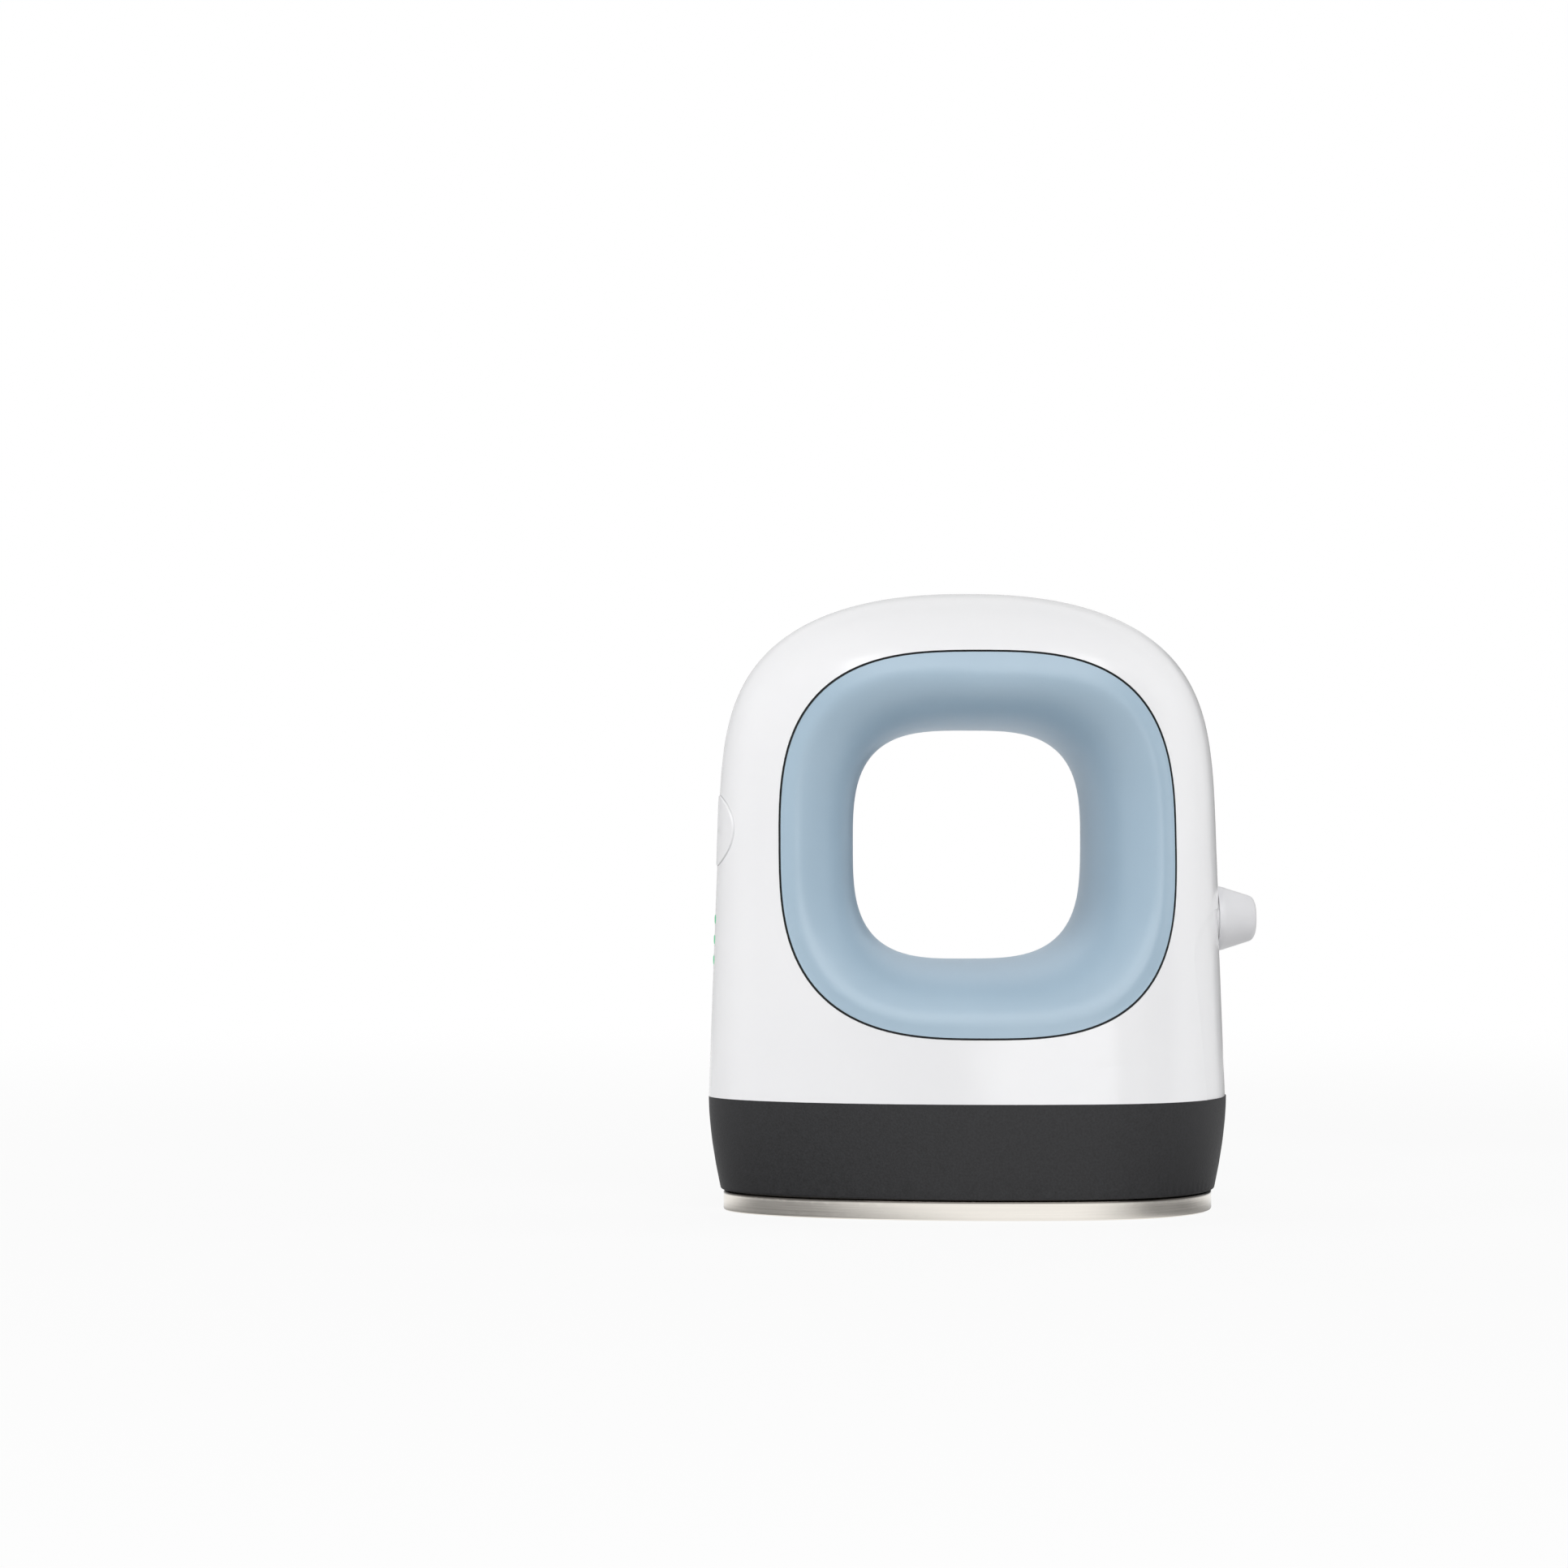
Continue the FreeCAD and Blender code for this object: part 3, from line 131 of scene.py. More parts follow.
shellLook = {           # high-gloss white ABS, polished tool
    "hue": ("f0f0f2", "f6f6f7"), "ior": 1.54, "roughness": (0.14, 0.22), "depth": 0.003,
    "cloudSize": 30.0, "glossSize": 2.2, "rippleSize": 7.0,
}
buttonLook = {          # the same ABS from a finer tool, a touch duller where it is pressed
    "hue": ("eeeef0", "f5f5f6"), "ior": 1.54, "roughness": (0.16, 0.25), "depth": 0.0015,
    "cloudSize": 6.0, "glossSize": 0.8, "rippleSize": 3.0,
}
glandLook = {           # soft white PVC with a silky surface
    "hue": ("d6d6d9", "e0e0e2"), "ior": 1.53, "roughness": (0.34, 0.46), "depth": 0.008,
    "cloudSize": 5.0, "glossSize": 0.7, "rippleSize": 1.6,
}


def moulded(name, look):
    # Injection-moulded plastic: a faint colour cloud, patches of finer and duller gloss and a
    # shallow ripple, so that highlights are clean but not glassy.
    material, tree, shader, place = newMaterial(name, {"IOR": look["ior"]})
    cloud, gloss, ripple = [
        addNode(tree, "ShaderNodeTexNoise", {"Scale": perMetre(look[size]), "Detail": detail},
                {"Vector": place}).outputs["Fac"]
        for size, detail in (("cloudSize", 2.0), ("glossSize", 4.0), ("rippleSize", 1.0))]
    dressShader(tree, shader, look, cloud, gloss, ripple)
    return material


lacquerLook = {
    "hue": ("a3bacb", "adc3d3"), "ior": 1.48, "roughness": (0.3, 0.42), "depth": 0.008,
    "sheen": 0.12, "sheenRoughness": 0.5, "cloudSize": 18.0, "grainSize": 0.3,
}


def satinLacquer(look):
    # Steel-blue satin lacquer over plastic: a fine sprayed grain and a soft, wide highlight.
    material, tree, shader, place = newMaterial("satinLacquer", {
        "IOR": look["ior"], "Sheen Weight": look["sheen"],
        "Sheen Roughness": look["sheenRoughness"]})
    cloud, grain = [
        addNode(tree, "ShaderNodeTexNoise", {"Scale": perMetre(look[size]), "Detail": 2.0},
                {"Vector": place}).outputs["Fac"]
        for size in ("cloudSize", "grainSize")]
    dressShader(tree, shader, look, cloud, grain, grain)
    return material


# near-black: painted shade for the thin gap between grip and shell
gapShadeSealLook = {"hue": ("0e1012", "202325"), "ior": 1.41, "roughness": 0.7, "depth": 0.01,
            "dustSize": 1.2}


def gapShadeSilicone(look):
    # Near-black silicone rubber for the seal between grip and shell, kept this dark as painted
    # shade for the gap there: dull, with a little dust-grey where it is rubbed.
    material, tree, shader, place = newMaterial("gapShadeSilicone", {
        "IOR": look["ior"], "Roughness": look["roughness"]})
    dust = addNode(tree, "ShaderNodeTexNoise",
                   {"Scale": perMetre(look["dustSize"]), "Detail": 3.0},
                   {"Vector": place}).outputs["Fac"]
    dressShader(tree, shader, look, tint=dust, relief=dust)
    return material


collarLook = {
    "hue": ("272728", "343436"), "ior": 1.5, "specular": 0.25, "roughness": (0.52, 0.7),
    "depth": 0.035, "pitSize": 0.35, "fleckSize": 1.1, "fleckShare": 0.25, "contrast": (0.3, 0.7),
}


def sparkTexturedPolymer(look):
    # Dark glass-filled polymer from a spark-eroded tool: fine pits that break up the light, with
    # slightly paler peaks.
    material, tree, shader, place = newMaterial("sparkTexturedPolymer", {
        "IOR": look["ior"], "Specular IOR Level": look["specular"]})
    pits, flecks = [
        addNode(tree, "ShaderNodeTexNoise", {"Scale": perMetre(look[size]), "Detail": detail},
                {"Vector": place}).outputs["Fac"]
        for size, detail in (("pitSize", 3.0), ("fleckSize", 5.0))]
    both = addNode(tree, "ShaderNodeMix", {"data_type": "FLOAT", 0: look["fleckShare"]},
                   {2: pits, 3: flecks}).outputs[0]
    low, high = look["contrast"]
    peaks = addNode(tree, "ShaderNodeMapRange", {"From Min": low, "From Max": high},
                    {"Value": both}).outputs["Result"]
    dressShader(tree, shader, look, peaks, peaks, both)
    return material


plateLook = {
    "hue": ("e8e3db", "f6f1e9"), "roughness": (0.12, 0.22), "depth": 0.002,
    "streakLength": 25.0, "streakGap": 0.22,
    # painted shade under the collar: a dark hue, and the two heights over which it comes in
    "paintedShade": "4a4642", "paintedShadeFrom": 2.7, "paintedShadeTo": 3.05,     # heights
}


def satinAluminium(look):
    # Cast aluminium with a warm satin coat, lapped round its edge: streaks a few tenths of a
    # millimetre apart that run level, and a soft grain across the press face.
    material, tree, shader, place = newMaterial("satinAluminium", {"Metallic": 1.0})
    length = perMetre(look["streakLength"])
    level = addNode(tree, "ShaderNodeMapping",
                    {"Scale": (length, length, perMetre(look["streakGap"]))}, {"Vector": place})
    streaks = addNode(tree, "ShaderNodeTexNoise", {"Scale": 1.0, "Detail": 4.0},
                      {"Vector": level.outputs["Vector"]}).outputs["Fac"]
    bright = dressShader(tree, shader, look, streaks, streaks, streaks)
    # painted shade: the base colour darkens toward the upper edge, standing in for the shadow
    # under the collar
    up = addNode(tree, "ShaderNodeSeparateXYZ", None, {0: place})
    paintedShade = addNode(tree, "ShaderNodeMapRange", {
        "interpolation_type": "SMOOTHSTEP", "From Min": look["paintedShadeFrom"] * mm,
        "From Max": look["paintedShadeTo"] * mm}, {"Value": up.outputs["Z"]})
    tint = addNode(tree, "ShaderNodeMix", {"data_type": "RGBA", 7: linear(look["paintedShade"])},
                   {0: paintedShade.outputs["Result"], 6: bright})
    tree.links.new(tint.outputs[2], shader.inputs["Base Color"])
    return material


# Inner finishes: what each part inside is made of, seen when the press is opened. A stretch
# lengthens the grain along X, Y or Z.

insideLooks = {
    # drawn tube, darkened and dulled by heat
    "nickelAlloySheath": {"hue": ("7d7870", "948e84"), "metallic": 1.0, "roughness": (0.35, 0.5),
                          "grain": 0.8, "depth": 0.01},
    # plated pins and screws: warm, bright and smooth
    "nickelPlatedSteel": {"hue": ("b0aca4", "c4c0b8"), "metallic": 1.0, "roughness": (0.2, 0.3),
                          "grain": 0.6, "depth": 0.004},
    # fired ceramic: cream, with a chalky sheen
    "steatite": {"hue": ("ddd6c4", "ece6d8"), "roughness": (0.4, 0.6), "grain": 0.4,
                 "depth": 0.015},
    # rolled strip: cool grey, with its grain along Y
    "springSteel": {"hue": ("8f9194", "a6a9ac"), "metallic": 1.0, "roughness": (0.28, 0.42),
                    "grain": 0.5, "depth": 0.005, "stretch": (1.0, 14.0, 1.0)},
    # bluish-white plating that catches the light on screw heads
    "zincPlatedSteel": {"hue": ("b4b9bd", "c9ced2"), "metallic": 1.0, "roughness": (0.22, 0.36),
                        "grain": 0.5, "depth": 0.005},
    # straw-coloured mat of fibres, deep and without shine
    "ceramicFelt": {"hue": ("c9bc9d", "e0d5b8"), "roughness": (0.85, 1.0), "grain": 0.5,
                    "depth": 0.25, "stretch": (5.0, 1.0, 1.0)},
    # hot-dipped sheet: pale spangles, a soft mirror
    "aluminisedSteel": {"hue": ("b7babd", "cccfd1"), "metallic": 1.0, "roughness": (0.25, 0.4),
                        "grain": 1.6, "depth": 0.01},
    # pressed brass: warm yellow
    "brass": {"hue": ("b98f3c", "d0a752"), "metallic": 1.0, "roughness": (0.25, 0.4),
              "grain": 0.4, "depth": 0.006},
    # drawn can with a coat of tin: pale and smooth
    "tinnedCase": {"hue": ("b2afa6", "c6c3bb"), "metallic": 1.0, "roughness": (0.2, 0.34),
                   "grain": 0.7, "depth": 0.005},
    # moulded terminal block: satin green
    "greenPolyamide": {"hue": ("2f7f50", "3a9060"), "roughness": (0.38, 0.5), "grain": 0.5,
                       "depth": 0.01},
    # moulded chip bodies: near-black and sandy
    "epoxyMould": {"hue": ("18191b", "242628"), "roughness": (0.45, 0.6), "grain": 0.3,
                   "depth": 0.008},
    # film capacitor's case: yellow with a low gloss
    "yellowPolyester": {"hue": ("d3a32d", "e0b443"), "roughness": (0.3, 0.42), "grain": 0.8,
                        "depth": 0.008},
    # shrunk sleeve: dark blue-black, shiny and lightly wavy
    "heatShrinkSleeve": {"hue": ("18202c", "232d3c"), "roughness": (0.22, 0.34), "grain": 1.5,
                         "depth": 0.012},
    # moulded brown cap of the board's fuse
    "fuseCan": {"hue": ("53382a", "634536"), "roughness": (0.35, 0.5), "grain": 0.9,
                "depth": 0.01},
    # undyed moulded nylon: milky and satin
    "naturalPolyamide": {"hue": ("e0dccf", "ece9de"), "roughness": (0.4, 0.55), "grain": 0.6,
                         "depth": 0.01},
    # extruded rubber leads: white or black, with a dull shine
    "whiteSilicone": {"hue": ("dcdcdc", "ebebeb"), "roughness": (0.45, 0.6), "grain": 0.8,
                      "depth": 0.01},
    "blackSilicone": {"hue": ("1b1b1d", "29292b"), "roughness": (0.4, 0.55), "grain": 0.8,
                      "depth": 0.01},
    # flat cable in grey PVC
    "greyRibbon": {"hue": ("8b8e92", "9fa2a6"), "roughness": (0.4, 0.55), "grain": 0.8,
                   "depth": 0.01},
}


def inside(name):
    look = insideLooks[name]
    material, tree, shader, place = newMaterial(name, {"Metallic": look.get("metallic", 0.0)})
    sides = look.get("stretch", (1.0, 1.0, 1.0))
    laid = addNode(tree, "ShaderNodeMapping",
                   {"Scale": [perMetre(look["grain"] * side) for side in sides]},
                   {"Vector": place})
    grain = addNode(tree, "ShaderNodeTexNoise", {"Scale": 1.0, "Detail": 3.0},
                    {"Vector": laid.outputs["Vector"]}).outputs["Fac"]
    dressShader(tree, shader, look, grain, grain, grain)
    return material


boardLook = {
    "hue": ("1b5c34", "2f7d4b"), "ior": 1.55, "roughness": 0.28, "depth": 0.03,
    "trackWidth": 0.6, "trackLength": 7.0, "trackGap": 2.2,
}


def solderMask(look):
    # Green solder mask: paler tracks show through it and stand a little proud.
    material, tree, shader, place = newMaterial("solderMask", {
        "IOR": look["ior"], "Roughness": look["roughness"]})
    tracks = addNode(tree, "ShaderNodeTexBrick", {
        "Color1": (0, 0, 0, 1), "Color2": (0, 0, 0, 1), "Mortar": (1, 1, 1, 1),
        "Scale": perMetre(1.0), "Mortar Size": look["trackWidth"] / 2,
        "Brick Width": look["trackLength"], "Row Height": look["trackGap"],
    }, {"Vector": place}).outputs["Fac"]
    dressShader(tree, shader, look, tint=tracks, relief=tracks)
    return material


wireLook = {"hue": ("7c3d1c", "c0713a"), "metallic": 0.8, "roughness": 0.3, "depth": 0.15,
            "turnGap": 3.1416, "waver": 0.3}


def enamelledWire(look):
    # Copper wire in clear enamel, wound turn by turn, with the turns drawn coarse so that they
    # show. A band of this texture is tau / 20 of a unit.
    material, tree, shader, place = newMaterial("enamelledWire", {
        "Metallic": look["metallic"], "Roughness": look["roughness"]})
    turns = addNode(tree, "ShaderNodeTexWave", {
        "bands_direction": "Z", "Scale": perMetre(look["turnGap"]) * math.tau / 20,
        "Distortion": look["waver"]}, {"Vector": place}).outputs["Fac"]
    dressShader(tree, shader, look, tint=turns, relief=turns)
    return material


lampLook = {"hue": ("2fae63", "52d98e"), "ior": 1.49, "roughness": 0.25, "depth": 0.01,
            "glowHue": "3fd07e", "glow": 0.6, "frostSize": 0.4}


def litEpoxy(look):
    # Green epoxy with the lamp inside it: brightest in patches where it is frosted.
    material, tree, shader, place = newMaterial("litEpoxy", {
        "IOR": look["ior"], "Roughness": look["roughness"],
        "Emission Color": look["glowHue"], "Emission Strength": look["glow"]})
    frost = addNode(tree, "ShaderNodeTexNoise",
                    {"Scale": perMetre(look["frostSize"]), "Detail": 2.0},
                    {"Vector": place}).outputs["Fac"]
    dressShader(tree, shader, look, tint=frost, relief=frost)
    return material


pipeLook = {
    "hue": ("6cc59b", "8bd4b0"), "ior": 1.49, "roughness": (0.12, 0.3), "glowHue": "46d088",
    "hazeSize": 0.5, "fade": (-42.0, -39.0),            # places along X: outer, inner
    "glow": (0.2, 0.02), "clearness": (0.25, 0.85),     # at those two places
}


def lightPipeAcrylic(look):
    # Clear acrylic that carries green light: glassy along its length, glowing where the frosted
    # outer end meets the air, near the nose.
    material, tree, shader, place = newMaterial("lightPipeAcrylic", {
        "IOR": look["ior"], "Emission Color": look["glowHue"]})
    haze = addNode(tree, "ShaderNodeTexNoise",
                   {"Scale": perMetre(look["hazeSize"]), "Detail": 2.0},
                   {"Vector": place}).outputs["Fac"]
    dressShader(tree, shader, look, tint=haze, gloss=haze)
    along = addNode(tree, "ShaderNodeSeparateXYZ", None, {0: place})
    start, end = look["fade"]
    for socket, level in (("Emission Strength", "glow"), ("Transmission Weight", "clearness")):
        outer, inner = look[level]
        fade = addNode(tree, "ShaderNodeMapRange", {
            "From Min": start * mm, "From Max": end * mm, "To Min": outer, "To Max": inner},
            {"Value": along.outputs["X"]})
        tree.links.new(fade.outputs["Result"], shader.inputs[socket])
    return material


finishes = {
    "shell": moulded("glossyAbs", shellLook),
    "button": moulded("buttonAbs", buttonLook),
    "gland": moulded("softPvc", glandLook),
    "grip": satinLacquer(lacquerLook),
    "seal": gapShadeSilicone(gapShadeSealLook),
    "collar": sparkTexturedPolymer(collarLook),
    "plate": satinAluminium(plateLook),
    "board": solderMask(boardLook),
    "coil": enamelledWire(wireLook),
    "lamp": litEpoxy(lampLook),
    "pipe": lightPipeAcrylic(pipeLook),
}
finishes.update({name: inside(name) for name in insideLooks})

nodeFinishes = {
    "body_shell": "shell", "power_button": "button", "cord_gland": "gland",
    "front_grip": "grip", "rear_grip": "grip", "front_grip_seal": "seal", "rear_grip_seal": "seal",
    "base_collar": "collar", "heat_plate": "plate",
    "heater_tube": "nickelAlloySheath", "heater_pins": "nickelPlatedSteel",
    "heater_end_seals": "steatite", "heater_clamp": "springSteel", "fuse_strap": "springSteel",
    "gland_clip": "springSteel", "clamp_screws": "zincPlatedSteel",
    "plate_screws": "zincPlatedSteel", "sensor_screws": "zincPlatedSteel",
    "board_screws": "zincPlatedSteel", "panel_screws": "zincPlatedSteel",
    "cord_clamp_screws": "zincPlatedSteel",
    "terminal_screws": "nickelPlatedSteel", "plate_spacers": "steatite",
    "insulation_pad": "ceramicFelt", "heat_shield": "aluminisedSteel",
    "temperature_sensor": "brass", "thermal_fuse": "tinnedCase", "main_board": "board",
    "panel_board": "board", "terminal_block": "greenPolyamide", "triac": "epoxyMould",
    "microcontroller": "epoxyMould", "tact_switch": "epoxyMould",
    "film_capacitor": "yellowPolyester", "bulk_capacitor": "heatShrinkSleeve",
    "supply_inductor": "coil", "board_fuse": "fuseCan", "panel_connector": "naturalPolyamide",
    "sensor_connector": "naturalPolyamide", "switch_plunger": "naturalPolyamide",
    "cord_clamp": "naturalPolyamide", "status_leds": "lamp", "light_pipes": "pipe",
    "heater_leads": "whiteSilicone", "sensor_leads": "blackSilicone", "panel_leads": "greyRibbon",
}
for name, node in nodes.items():
    for slot in node.material_slots:
        slot.material = finishes[nodeFinishes[name]]
print("finishes set on", len(nodes), "nodes")


# Modelling helpers

touch = 0.01            # mm: a corner this near a place counts as on it
weld = 0.001            # mm: corners nearer than this become one


def startPiece(name):       # a primitive just added: its place goes into its mesh
    bpy.ops.object.transform_apply(location=True, rotation=True, scale=True)
    piece = bpy.context.active_object
    piece.name = piece.data.name = name
    bpy.ops.object.mode_set(mode="EDIT")
    return piece


def endPiece(piece, angle=40):
    bpy.ops.object.mode_set(mode="EDIT")
    bpy.ops.mesh.select_all(action="SELECT")
    bpy.ops.mesh.normals_make_consistent(inside=False)
    bpy.ops.object.mode_set(mode="OBJECT")
    bpy.ops.object.shade_smooth_by_angle(angle=math.radians(angle))


def pick(piece, kind, test):    # kind is verts, edges or faces; the test takes one place in mm
    bpy.ops.mesh.select_all(action="DESELECT")
    bpy.ops.mesh.select_mode(type={"verts": "VERT", "edges": "EDGE", "faces": "FACE"}[kind])
    mesh = bmesh.from_edit_mesh(piece.data)
    for part in getattr(mesh, kind):
        corners = [part] if kind == "verts" else part.verts
        if all(test(corner.co / mm) for corner in corners):
            part.select_set(True)
    bmesh.update_edit_mesh(piece.data)


def turnAlongX(name, axisZ, rings, sides):
    # A turned piece: its end face is drawn out from ring to ring, each a place on X and a radius.
    bpy.ops.object.select_all(action="DESELECT")
    x, radius = rings[0]
    bpy.ops.mesh.primitive_circle_add(vertices=sides, radius=radius * mm, fill_type="NGON",
                                      location=Vector((x, 0, axisZ)) * mm,
                                      rotation=(0, math.radians(90), 0))
    piece = startPiece(name)
    bpy.ops.mesh.select_all(action="SELECT")
    for nextX, nextRadius in rings[1:]:
        bpy.ops.mesh.extrude_region_move(
            TRANSFORM_OT_translate={"value": Vector((nextX - x, 0, 0)) * mm})
        size = nextRadius / radius
        bpy.ops.transform.resize(value=(1, size, size),
                                 center_override=Vector((nextX, 0, axisZ)) * mm)
        x, radius = nextX, nextRadius
    return piece


def roundCorners(piece, corners, axisZ, segments=5):
    # Each corner is a place on X, a radius and the size of its round.
    for x, radius, size in corners:
        pick(piece, "edges", lambda spot: abs(spot.x - x) < touch
             and abs(math.hypot(spot.y, spot.z - axisZ) - radius) < touch)
        bpy.ops.mesh.bevel(offset=size * mm, segments=segments, affect="EDGES")


def addBlock(name, centre, sides, roundSize, segments=3):     # a box with rounded edges, in mm
    bpy.ops.object.select_all(action="DESELECT")
    bpy.ops.mesh.primitive_cube_add(size=1.0, location=Vector(centre) * mm,
                                    scale=Vector(sides) * mm)
    piece = startPiece(name)
    bpy.ops.mesh.select_all(action="SELECT")
    bpy.ops.mesh.bevel(offset=roundSize * mm, segments=segments, affect="EDGES")
    bpy.ops.object.mode_set(mode="OBJECT")
    return piece


def useModifier(piece, kind, settings):
    bpy.context.view_layer.objects.active = piece
    modifier = piece.modifiers.new(kind.lower(), kind)
    for key, value in settings.items():
        setattr(modifier, key, value)
    bpy.ops.object.modifier_apply(modifier=modifier.name)


def uniteWith(piece, other):
    useModifier(piece, "BOOLEAN", {"object": other, "operation": "UNION", "solver": "EXACT"})
    bpy.data.objects.remove(other)


def mountPiece(piece, finish, node, body):
    piece.data.materials.clear()
    piece.data.materials.append(finish)
    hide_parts(node)
    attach(piece, body)


# Cord gland: a tapered stub with a soft tip and a skirt pressed on the wall, a neck through the
# wall and a groove for its clip.

glandSettings = {       # mm; places along X
    "axisZ": 48.7, "innerEnd": 33.72, "grooveStart": 37.1, "grooveEnd": 38.72,
    "seat": 43.02, "tip": 48.7, "neckRadius": 4.14, "grooveRadius": 3.44, "rootRadius": 5.4,
    "skirtEnd": 42.1, "skirtRadius": 4.95,
    "tipRadius": 3.6, "boreRadius": 2.6, "tipRound": 0.85, "rootRound": 0.3, "boreRound": 0.35,
    "sides": 72,
}


def cordGland(at):
    rings = [
        (at["innerEnd"], at["boreRadius"]), (at["innerEnd"], at["neckRadius"]),
        (at["grooveStart"], at["neckRadius"]), (at["grooveStart"], at["grooveRadius"]),
        (at["grooveEnd"], at["grooveRadius"]), (at["grooveEnd"], at["neckRadius"]),
        (at["seat"], at["neckRadius"]), (at["seat"], at["skirtRadius"]),
        (at["skirtEnd"], at["skirtRadius"]), (at["skirtEnd"], at["rootRadius"]),
        (at["seat"], at["rootRadius"]),
        (at["tip"], at["tipRadius"]), (at["tip"], at["boreRadius"]),
        (at["innerEnd"], at["boreRadius"]),
    ]
    piece = turnAlongX("cordGland", at["axisZ"], rings, at["sides"])
    # the bore runs right through: the two faces that meet at its inner end go
    pick(piece, "faces", lambda spot: abs(spot.x - at["innerEnd"]) < touch
         and math.hypot(spot.y, spot.z - at["axisZ"]) < at["boreRadius"] + touch)
    bpy.ops.mesh.delete(type="ONLY_FACE")
    bpy.ops.mesh.select_all(action="SELECT")
    bpy.ops.mesh.remove_doubles(threshold=weld * mm)
    roundCorners(piece, [(at["tip"], at["tipRadius"], at["tipRound"]),
                         (at["tip"], at["boreRadius"], at["boreRound"]),
                         (at["seat"], at["rootRadius"], at["rootRound"])], at["axisZ"])
    endPiece(piece)
    mountPiece(piece, finishes["gland"], "cord_gland", "press")


cordGland(glandSettings)
print("cord gland modelled")


# Power button: a round cap whose face follows the nose, two tabs behind the wall and a stem.

buttonSettings = {      # mm; places along X
    "axisZ": 63.6, "stemEnd": -36.87, "back": -37.47, "front": -45.5, "radius": 5.88,
    "stemRadius": 2.2, "faceRings": (5.86, 4.4, 2.9, 1.45), "sides": 32, "smoothing": 2,
    "rimRound": 0.16, "rimSegments": 4, "rimBefore": -38.47,
    "tabThickness": 1.2, "tabHalfWidth": 2.5, "tabReach": 7.1, "tabRound": 0.25,
}


def powerButton(at):
    # a coarse face is laid on the nose, then subdivided smooth
    rings = [(at["front"], radius) for radius in at["faceRings"]]
    piece = turnAlongX("powerButtonCap", at["axisZ"], rings, at["sides"])
    bpy.ops.mesh.merge(type="COLLAPSE")
    pick(piece, "faces", lambda spot: math.hypot(spot.y, spot.z - at["axisZ"])
         > at["faceRings"][0] - touch)
    bpy.ops.mesh.delete(type="ONLY_FACE")
    bpy.ops.object.mode_set(mode="OBJECT")
    useModifier(piece, "SHRINKWRAP", {
        "target": nodes["power_button"], "wrap_method": "PROJECT", "use_project_x": True,
        "use_positive_direction": True, "use_negative_direction": False})
    useModifier(piece, "SUBSURF", {"levels": at["smoothing"], "render_levels": at["smoothing"]})
    # its edge is brought to size and drawn back into the wall, the stem and its end
    edgeRadius = max(math.hypot(corner.co.y, corner.co.z - at["axisZ"] * mm)
                     for corner in piece.data.vertices) / mm
    axis = Vector((at["back"], 0, at["axisZ"])) * mm
    size = at["radius"] / edgeRadius
    bpy.ops.object.mode_set(mode="EDIT")
    bpy.ops.mesh.select_all(action="SELECT")
    bpy.ops.transform.resize(value=(1, size, size), center_override=axis)
    pick(piece, "edges", lambda spot: math.hypot(spot.y, spot.z - at["axisZ"])
         > at["radius"] - touch)
    bpy.ops.mesh.extrude_region_move()
    bpy.ops.transform.resize(value=(0, 1, 1), center_override=axis)
    size = at["stemRadius"] / at["radius"]
    bpy.ops.mesh.extrude_region_move()
    bpy.ops.transform.resize(value=(1, size, size), center_override=axis)
    bpy.ops.mesh.extrude_region_move(
        TRANSFORM_OT_translate={"value": Vector((at["stemEnd"] - at["back"], 0, 0)) * mm})
    bpy.ops.mesh.edge_face_add()
    pick(piece, "edges", lambda spot: spot.x < at["rimBefore"]
         and math.hypot(spot.y, spot.z - at["axisZ"]) > at["radius"] - touch)
    bpy.ops.mesh.bevel(offset=at["rimRound"] * mm, segments=at["rimSegments"], affect="EDGES")
    bpy.ops.object.mode_set(mode="OBJECT")
    tabs = addBlock("tabs", (at["back"] - at["tabThickness"] / 2, 0, at["axisZ"]),
                    (at["tabThickness"], 2 * at["tabHalfWidth"], 2 * at["tabReach"]),
                    at["tabRound"])
    uniteWith(piece, tabs)
    piece.select_set(True)
    endPiece(piece)
    mountPiece(piece, finishes["button"], "power_button", "button")


powerButton(buttonSettings)
print("power button modelled")


# Light pipes: three clear rods with soft ends on one bar, which stands on two feet.

pipeSettings = {        # mm; places along X
    "rods": ((41.9, -42.86), (45.3, -42.74), (48.7, -42.61)),      # centre height, outer end
    "rodBack": -33.3, "rodRadius": 0.9, "endRound": 0.35, "rodSides": 40,
    "barStart": -36.6, "barEnd": -35.2, "barHalfWidth": 1.9, "barBottom": 39.5, "barTop": 51.1,
    "barRound": 0.2, "feet": (40.2, 50.4), "footEnd": -32.0, "footRadius": 0.6, "footSides": 24,
}


def lightPipes(at):
    thickness = at["barEnd"] - at["barStart"]
    height = at["barTop"] - at["barBottom"]
    middle = at["barStart"] + thickness / 2
    piece = addBlock("lightPipes", (middle, 0, at["barBottom"] + height / 2),
                     (thickness, 2 * at["barHalfWidth"], height), at["barRound"])
    for axisZ, outerEnd in at["rods"]:
        rod = turnAlongX("rod", axisZ, [(at["rodBack"], at["rodRadius"]),
                                        (outerEnd, at["rodRadius"])], at["rodSides"])
        roundCorners(rod, [(outerEnd, at["rodRadius"], at["endRound"])], axisZ)
        bpy.ops.object.mode_set(mode="OBJECT")
        uniteWith(piece, rod)
    for axisZ in at["feet"]:
        foot = turnAlongX("foot", axisZ, [(middle, at["footRadius"]),
                                          (at["footEnd"], at["footRadius"])], at["footSides"])
        bpy.ops.object.mode_set(mode="OBJECT")
        uniteWith(piece, foot)
    piece.select_set(True)
    endPiece(piece)
    mountPiece(piece, finishes["pipe"], "light_pipes", "press")


lightPipes(pipeSettings)
print("light pipes modelled")


# Studio: a pale floor, a white surround, dark nets for the reflections and soft lamps.

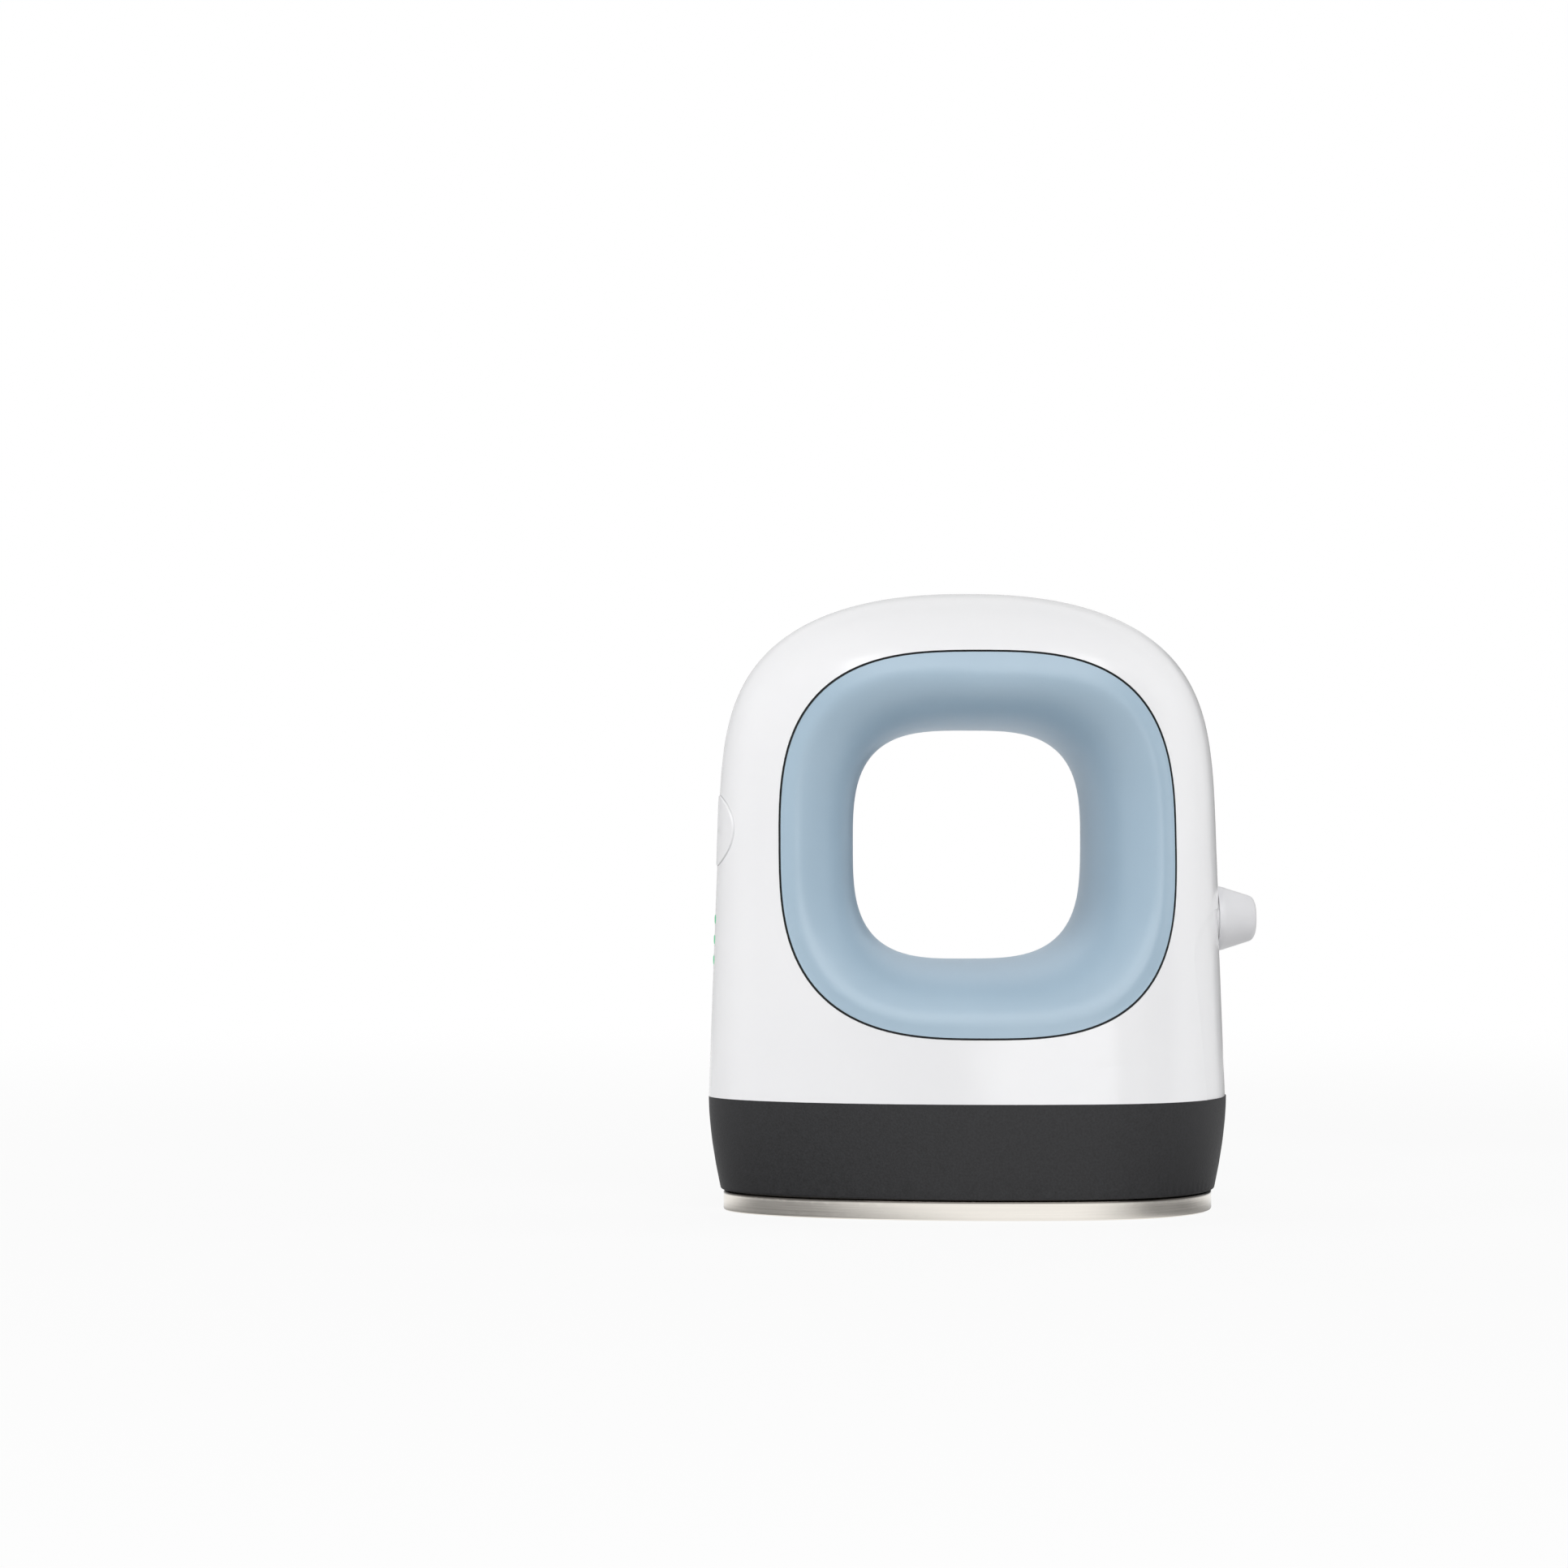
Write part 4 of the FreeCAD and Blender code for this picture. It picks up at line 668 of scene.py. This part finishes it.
floorSettings = {       # matt paper with a faint cloud (mm) in its tone; the rest in metres
    "hue": ("dadada", "e2e2e2"), "roughness": 0.8, "cloudSize": 60.0,
    "size": 8.0, "shadowReach": 0.12, "whiteFrom": 0.65,
    "lift": 0.9,        # share of plain white near the object
}


def addSeen(tree):      # 1 for what the lens, a reflection or a clear part sees
    seen = addNode(tree, "ShaderNodeLightPath")
    first = addNode(tree, "ShaderNodeMath", {"operation": "MAXIMUM"},
                    {0: seen.outputs["Is Camera Ray"], 1: seen.outputs["Is Glossy Ray"]})
    either = addNode(tree, "ShaderNodeMath", {"operation": "MAXIMUM"},
                     {0: first.outputs[0], 1: seen.outputs["Is Transmission Ray"]})
    return either.outputs[0]


def addFloor(settings):
    bpy.ops.object.select_all(action="DESELECT")
    bpy.ops.mesh.primitive_plane_add(size=settings["size"], location=(0, 0, 0))
    floor = bpy.context.active_object
    floor.name = "studioFloor"
    material, tree, shader, place = newMaterial("studioPaper", {
        "Roughness": settings["roughness"]})
    cloud = addNode(tree, "ShaderNodeTexNoise", {"Scale": perMetre(settings["cloudSize"])},
                    {"Vector": place})
    dressShader(tree, shader, settings, tint=cloud.outputs["Fac"])
    # seen by the lens and in reflections the paper turns to plain white away from the object
    reach = addNode(tree, "ShaderNodeVectorMath", {"operation": "LENGTH"}, {0: place})
    away = addNode(tree, "ShaderNodeMapRange", {
        "interpolation_type": "SMOOTHSTEP", "From Min": settings["shadowReach"],
        "From Max": settings["whiteFrom"], "To Min": settings["lift"]},
        {"Value": reach.outputs["Value"]})
    share = addNode(tree, "ShaderNodeMath", {"operation": "MULTIPLY"},
                    {0: away.outputs["Result"], 1: addSeen(tree)})
    white = addNode(tree, "ShaderNodeEmission")
    mixed = addNode(tree, "ShaderNodeMixShader", None,
                    {0: share.outputs[0], 1: shader.outputs[0], 2: white.outputs[0]})
    tree.links.new(mixed.outputs[0], tree.nodes["Material Output"].inputs["Surface"])
    floor.data.materials.append(material)


surroundSettings = {"light": 0.12, "seen": 1.0}     # strength on the object, and where it is seen


def addSurround(settings):
    world = bpy.data.worlds.new("surround")
    bpy.context.scene.world = world
    world.use_nodes = True
    tree = world.node_tree
    level = addNode(tree, "ShaderNodeMapRange",
                    {"To Min": settings["light"], "To Max": settings["seen"]},
                    {"Value": addSeen(tree)})
    tree.links.new(level.outputs["Result"], tree.nodes["Background"].inputs["Strength"])
    tree.nodes["Background"].inputs["Color"].default_value = (1, 1, 1, 1)


lamps = {       # metres and watts; shine False keeps a lamp out of reflections, fill False makes
                # it seen only there
    "frontBox": {"place": (0.0, -1.12, 0.98), "aim": (0, 0, 0.05), "size": (1.7, 1.0),
                 "power": 16.5},
    "leftFill": {"place": (-0.8, 0.0, 0.2), "aim": (0, 0, 0.06), "size": (0.35, 0.6),
                 "power": 2.5, "shine": False},
    "rightFill": {"place": (0.8, 0.0, 0.2), "aim": (0, 0, 0.06), "size": (0.35, 0.6),
                  "power": 1.9, "shine": False},
    "topBox": {"place": (0.0, -0.15, 1.2), "aim": (0, 0, 0.05), "size": (1.2, 1.0),
               "power": 0.5},
    "lowCard": {"place": (0.19, -1.1, 0.27), "aim": (0, 0, 0.05), "size": (0.64, 0.34),
                "power": 1.45, "fill": False},
    "backBox": {"place": (0.0, 0.9, 0.85), "aim": (0, 0, 0.05), "size": (1.2, 0.5),
                "power": 3.6, "shine": False},
}


def addLamp(name, settings):
    data = bpy.data.lights.new(name, "AREA")
    data.shape = "RECTANGLE"
    data.size, data.size_y = settings["size"]
    data.energy = settings["power"]
    lamp = bpy.data.objects.new(name, data)
    bpy.context.collection.objects.link(lamp)
    lamp.visible_glossy = settings.get("shine", True)
    lamp.visible_diffuse = settings.get("fill", True)
    lamp.location = settings["place"]
    way = Vector(settings["aim"]) - Vector(settings["place"])
    lamp.rotation_euler = way.to_track_quat("-Z", "Y").to_euler()


clothLook = {"hue": ("141414", "1e1e1e"), "roughness": 0.9, "weaveSize": 2.0}     # matt black
flags = {       # soft oval black nets that only reflections see: metres, degrees, shares
    "rightBackFlag": {"place": (0.284, 0.439, 0.08), "size": (0.37, 0.46), "lean": 90,
                      "turn": 151.5, "core": 0.3, "density": 0.86},
    "rightBackCard": {"place": (0.181, 0.267, 0.0002), "size": (0.24, 0.38), "lean": 0,
                      "turn": 333, "core": 0.36, "density": 0.86},
    "backNet": {"place": (0.0, 0.62, 0.2), "size": (2.4, 0.8), "lean": 90,
                "turn": 180, "core": 0.3, "density": 0.35},
    "rightScreen": {"place": (0.536, -0.344, 0.2), "size": (0.36, 0.9), "lean": 90,
                    "turn": 57, "core": 0.3, "density": 0.6},
    "leftCard": {"place": (-0.05, -0.02, 0.0002), "size": (0.11, 0.07), "lean": 0,
                 "turn": 0, "core": 0.1, "density": 0.86},
    "rightCard": {"place": (0.051, -0.024, 0.0002), "size": (0.078, 0.08), "lean": 0,
                  "turn": 0, "core": 0.1, "density": 0.86},
}


def addFlag(name, settings, look):
    bpy.ops.object.select_all(action="DESELECT")
    bpy.ops.mesh.primitive_plane_add(
        size=1.0, location=settings["place"],
        rotation=(math.radians(settings["lean"]), 0, math.radians(settings["turn"])))
    bpy.ops.transform.resize(value=(*settings["size"], 1), orient_type="LOCAL")
    flag = bpy.context.active_object
    flag.name = name
    material, tree, shader, place = newMaterial(name + "Cloth", {"Roughness": look["roughness"]})
    weave = addNode(tree, "ShaderNodeTexNoise", {"Scale": perMetre(look["weaveSize"])},
                    {"Vector": place})
    dressShader(tree, shader, look, tint=weave.outputs["Fac"])
    # dense in the middle, open toward its edge, which is 0.5 from its centre
    reach = addNode(tree, "ShaderNodeVectorMath", {"operation": "LENGTH"}, {0: place})
    dense = addNode(tree, "ShaderNodeMapRange", {
        "interpolation_type": "SMOOTHSTEP", "From Min": settings["core"], "From Max": 0.5,
        "To Min": settings["density"], "To Max": 0.0}, {"Value": reach.outputs["Value"]})
    clear = addNode(tree, "ShaderNodeBsdfTransparent")
    mixed = addNode(tree, "ShaderNodeMixShader", None,
                    {0: dense.outputs["Result"], 1: clear.outputs[0], 2: shader.outputs[0]})
    tree.links.new(mixed.outputs[0], tree.nodes["Material Output"].inputs["Surface"])
    flag.data.materials.append(material)
    flag.visible_camera = False
    flag.visible_shadow = False
    flag.visible_diffuse = False


for name, settings in flags.items():
    addFlag(name, settings, clothLook)
addFloor(floorSettings)
addSurround(surroundSettings)
for name, settings in lamps.items():
    addLamp(name, settings)
bpy.context.scene.view_settings.view_transform = "Standard"
print("studio ready:", len(lamps), "lamps,", len(flags), "nets")
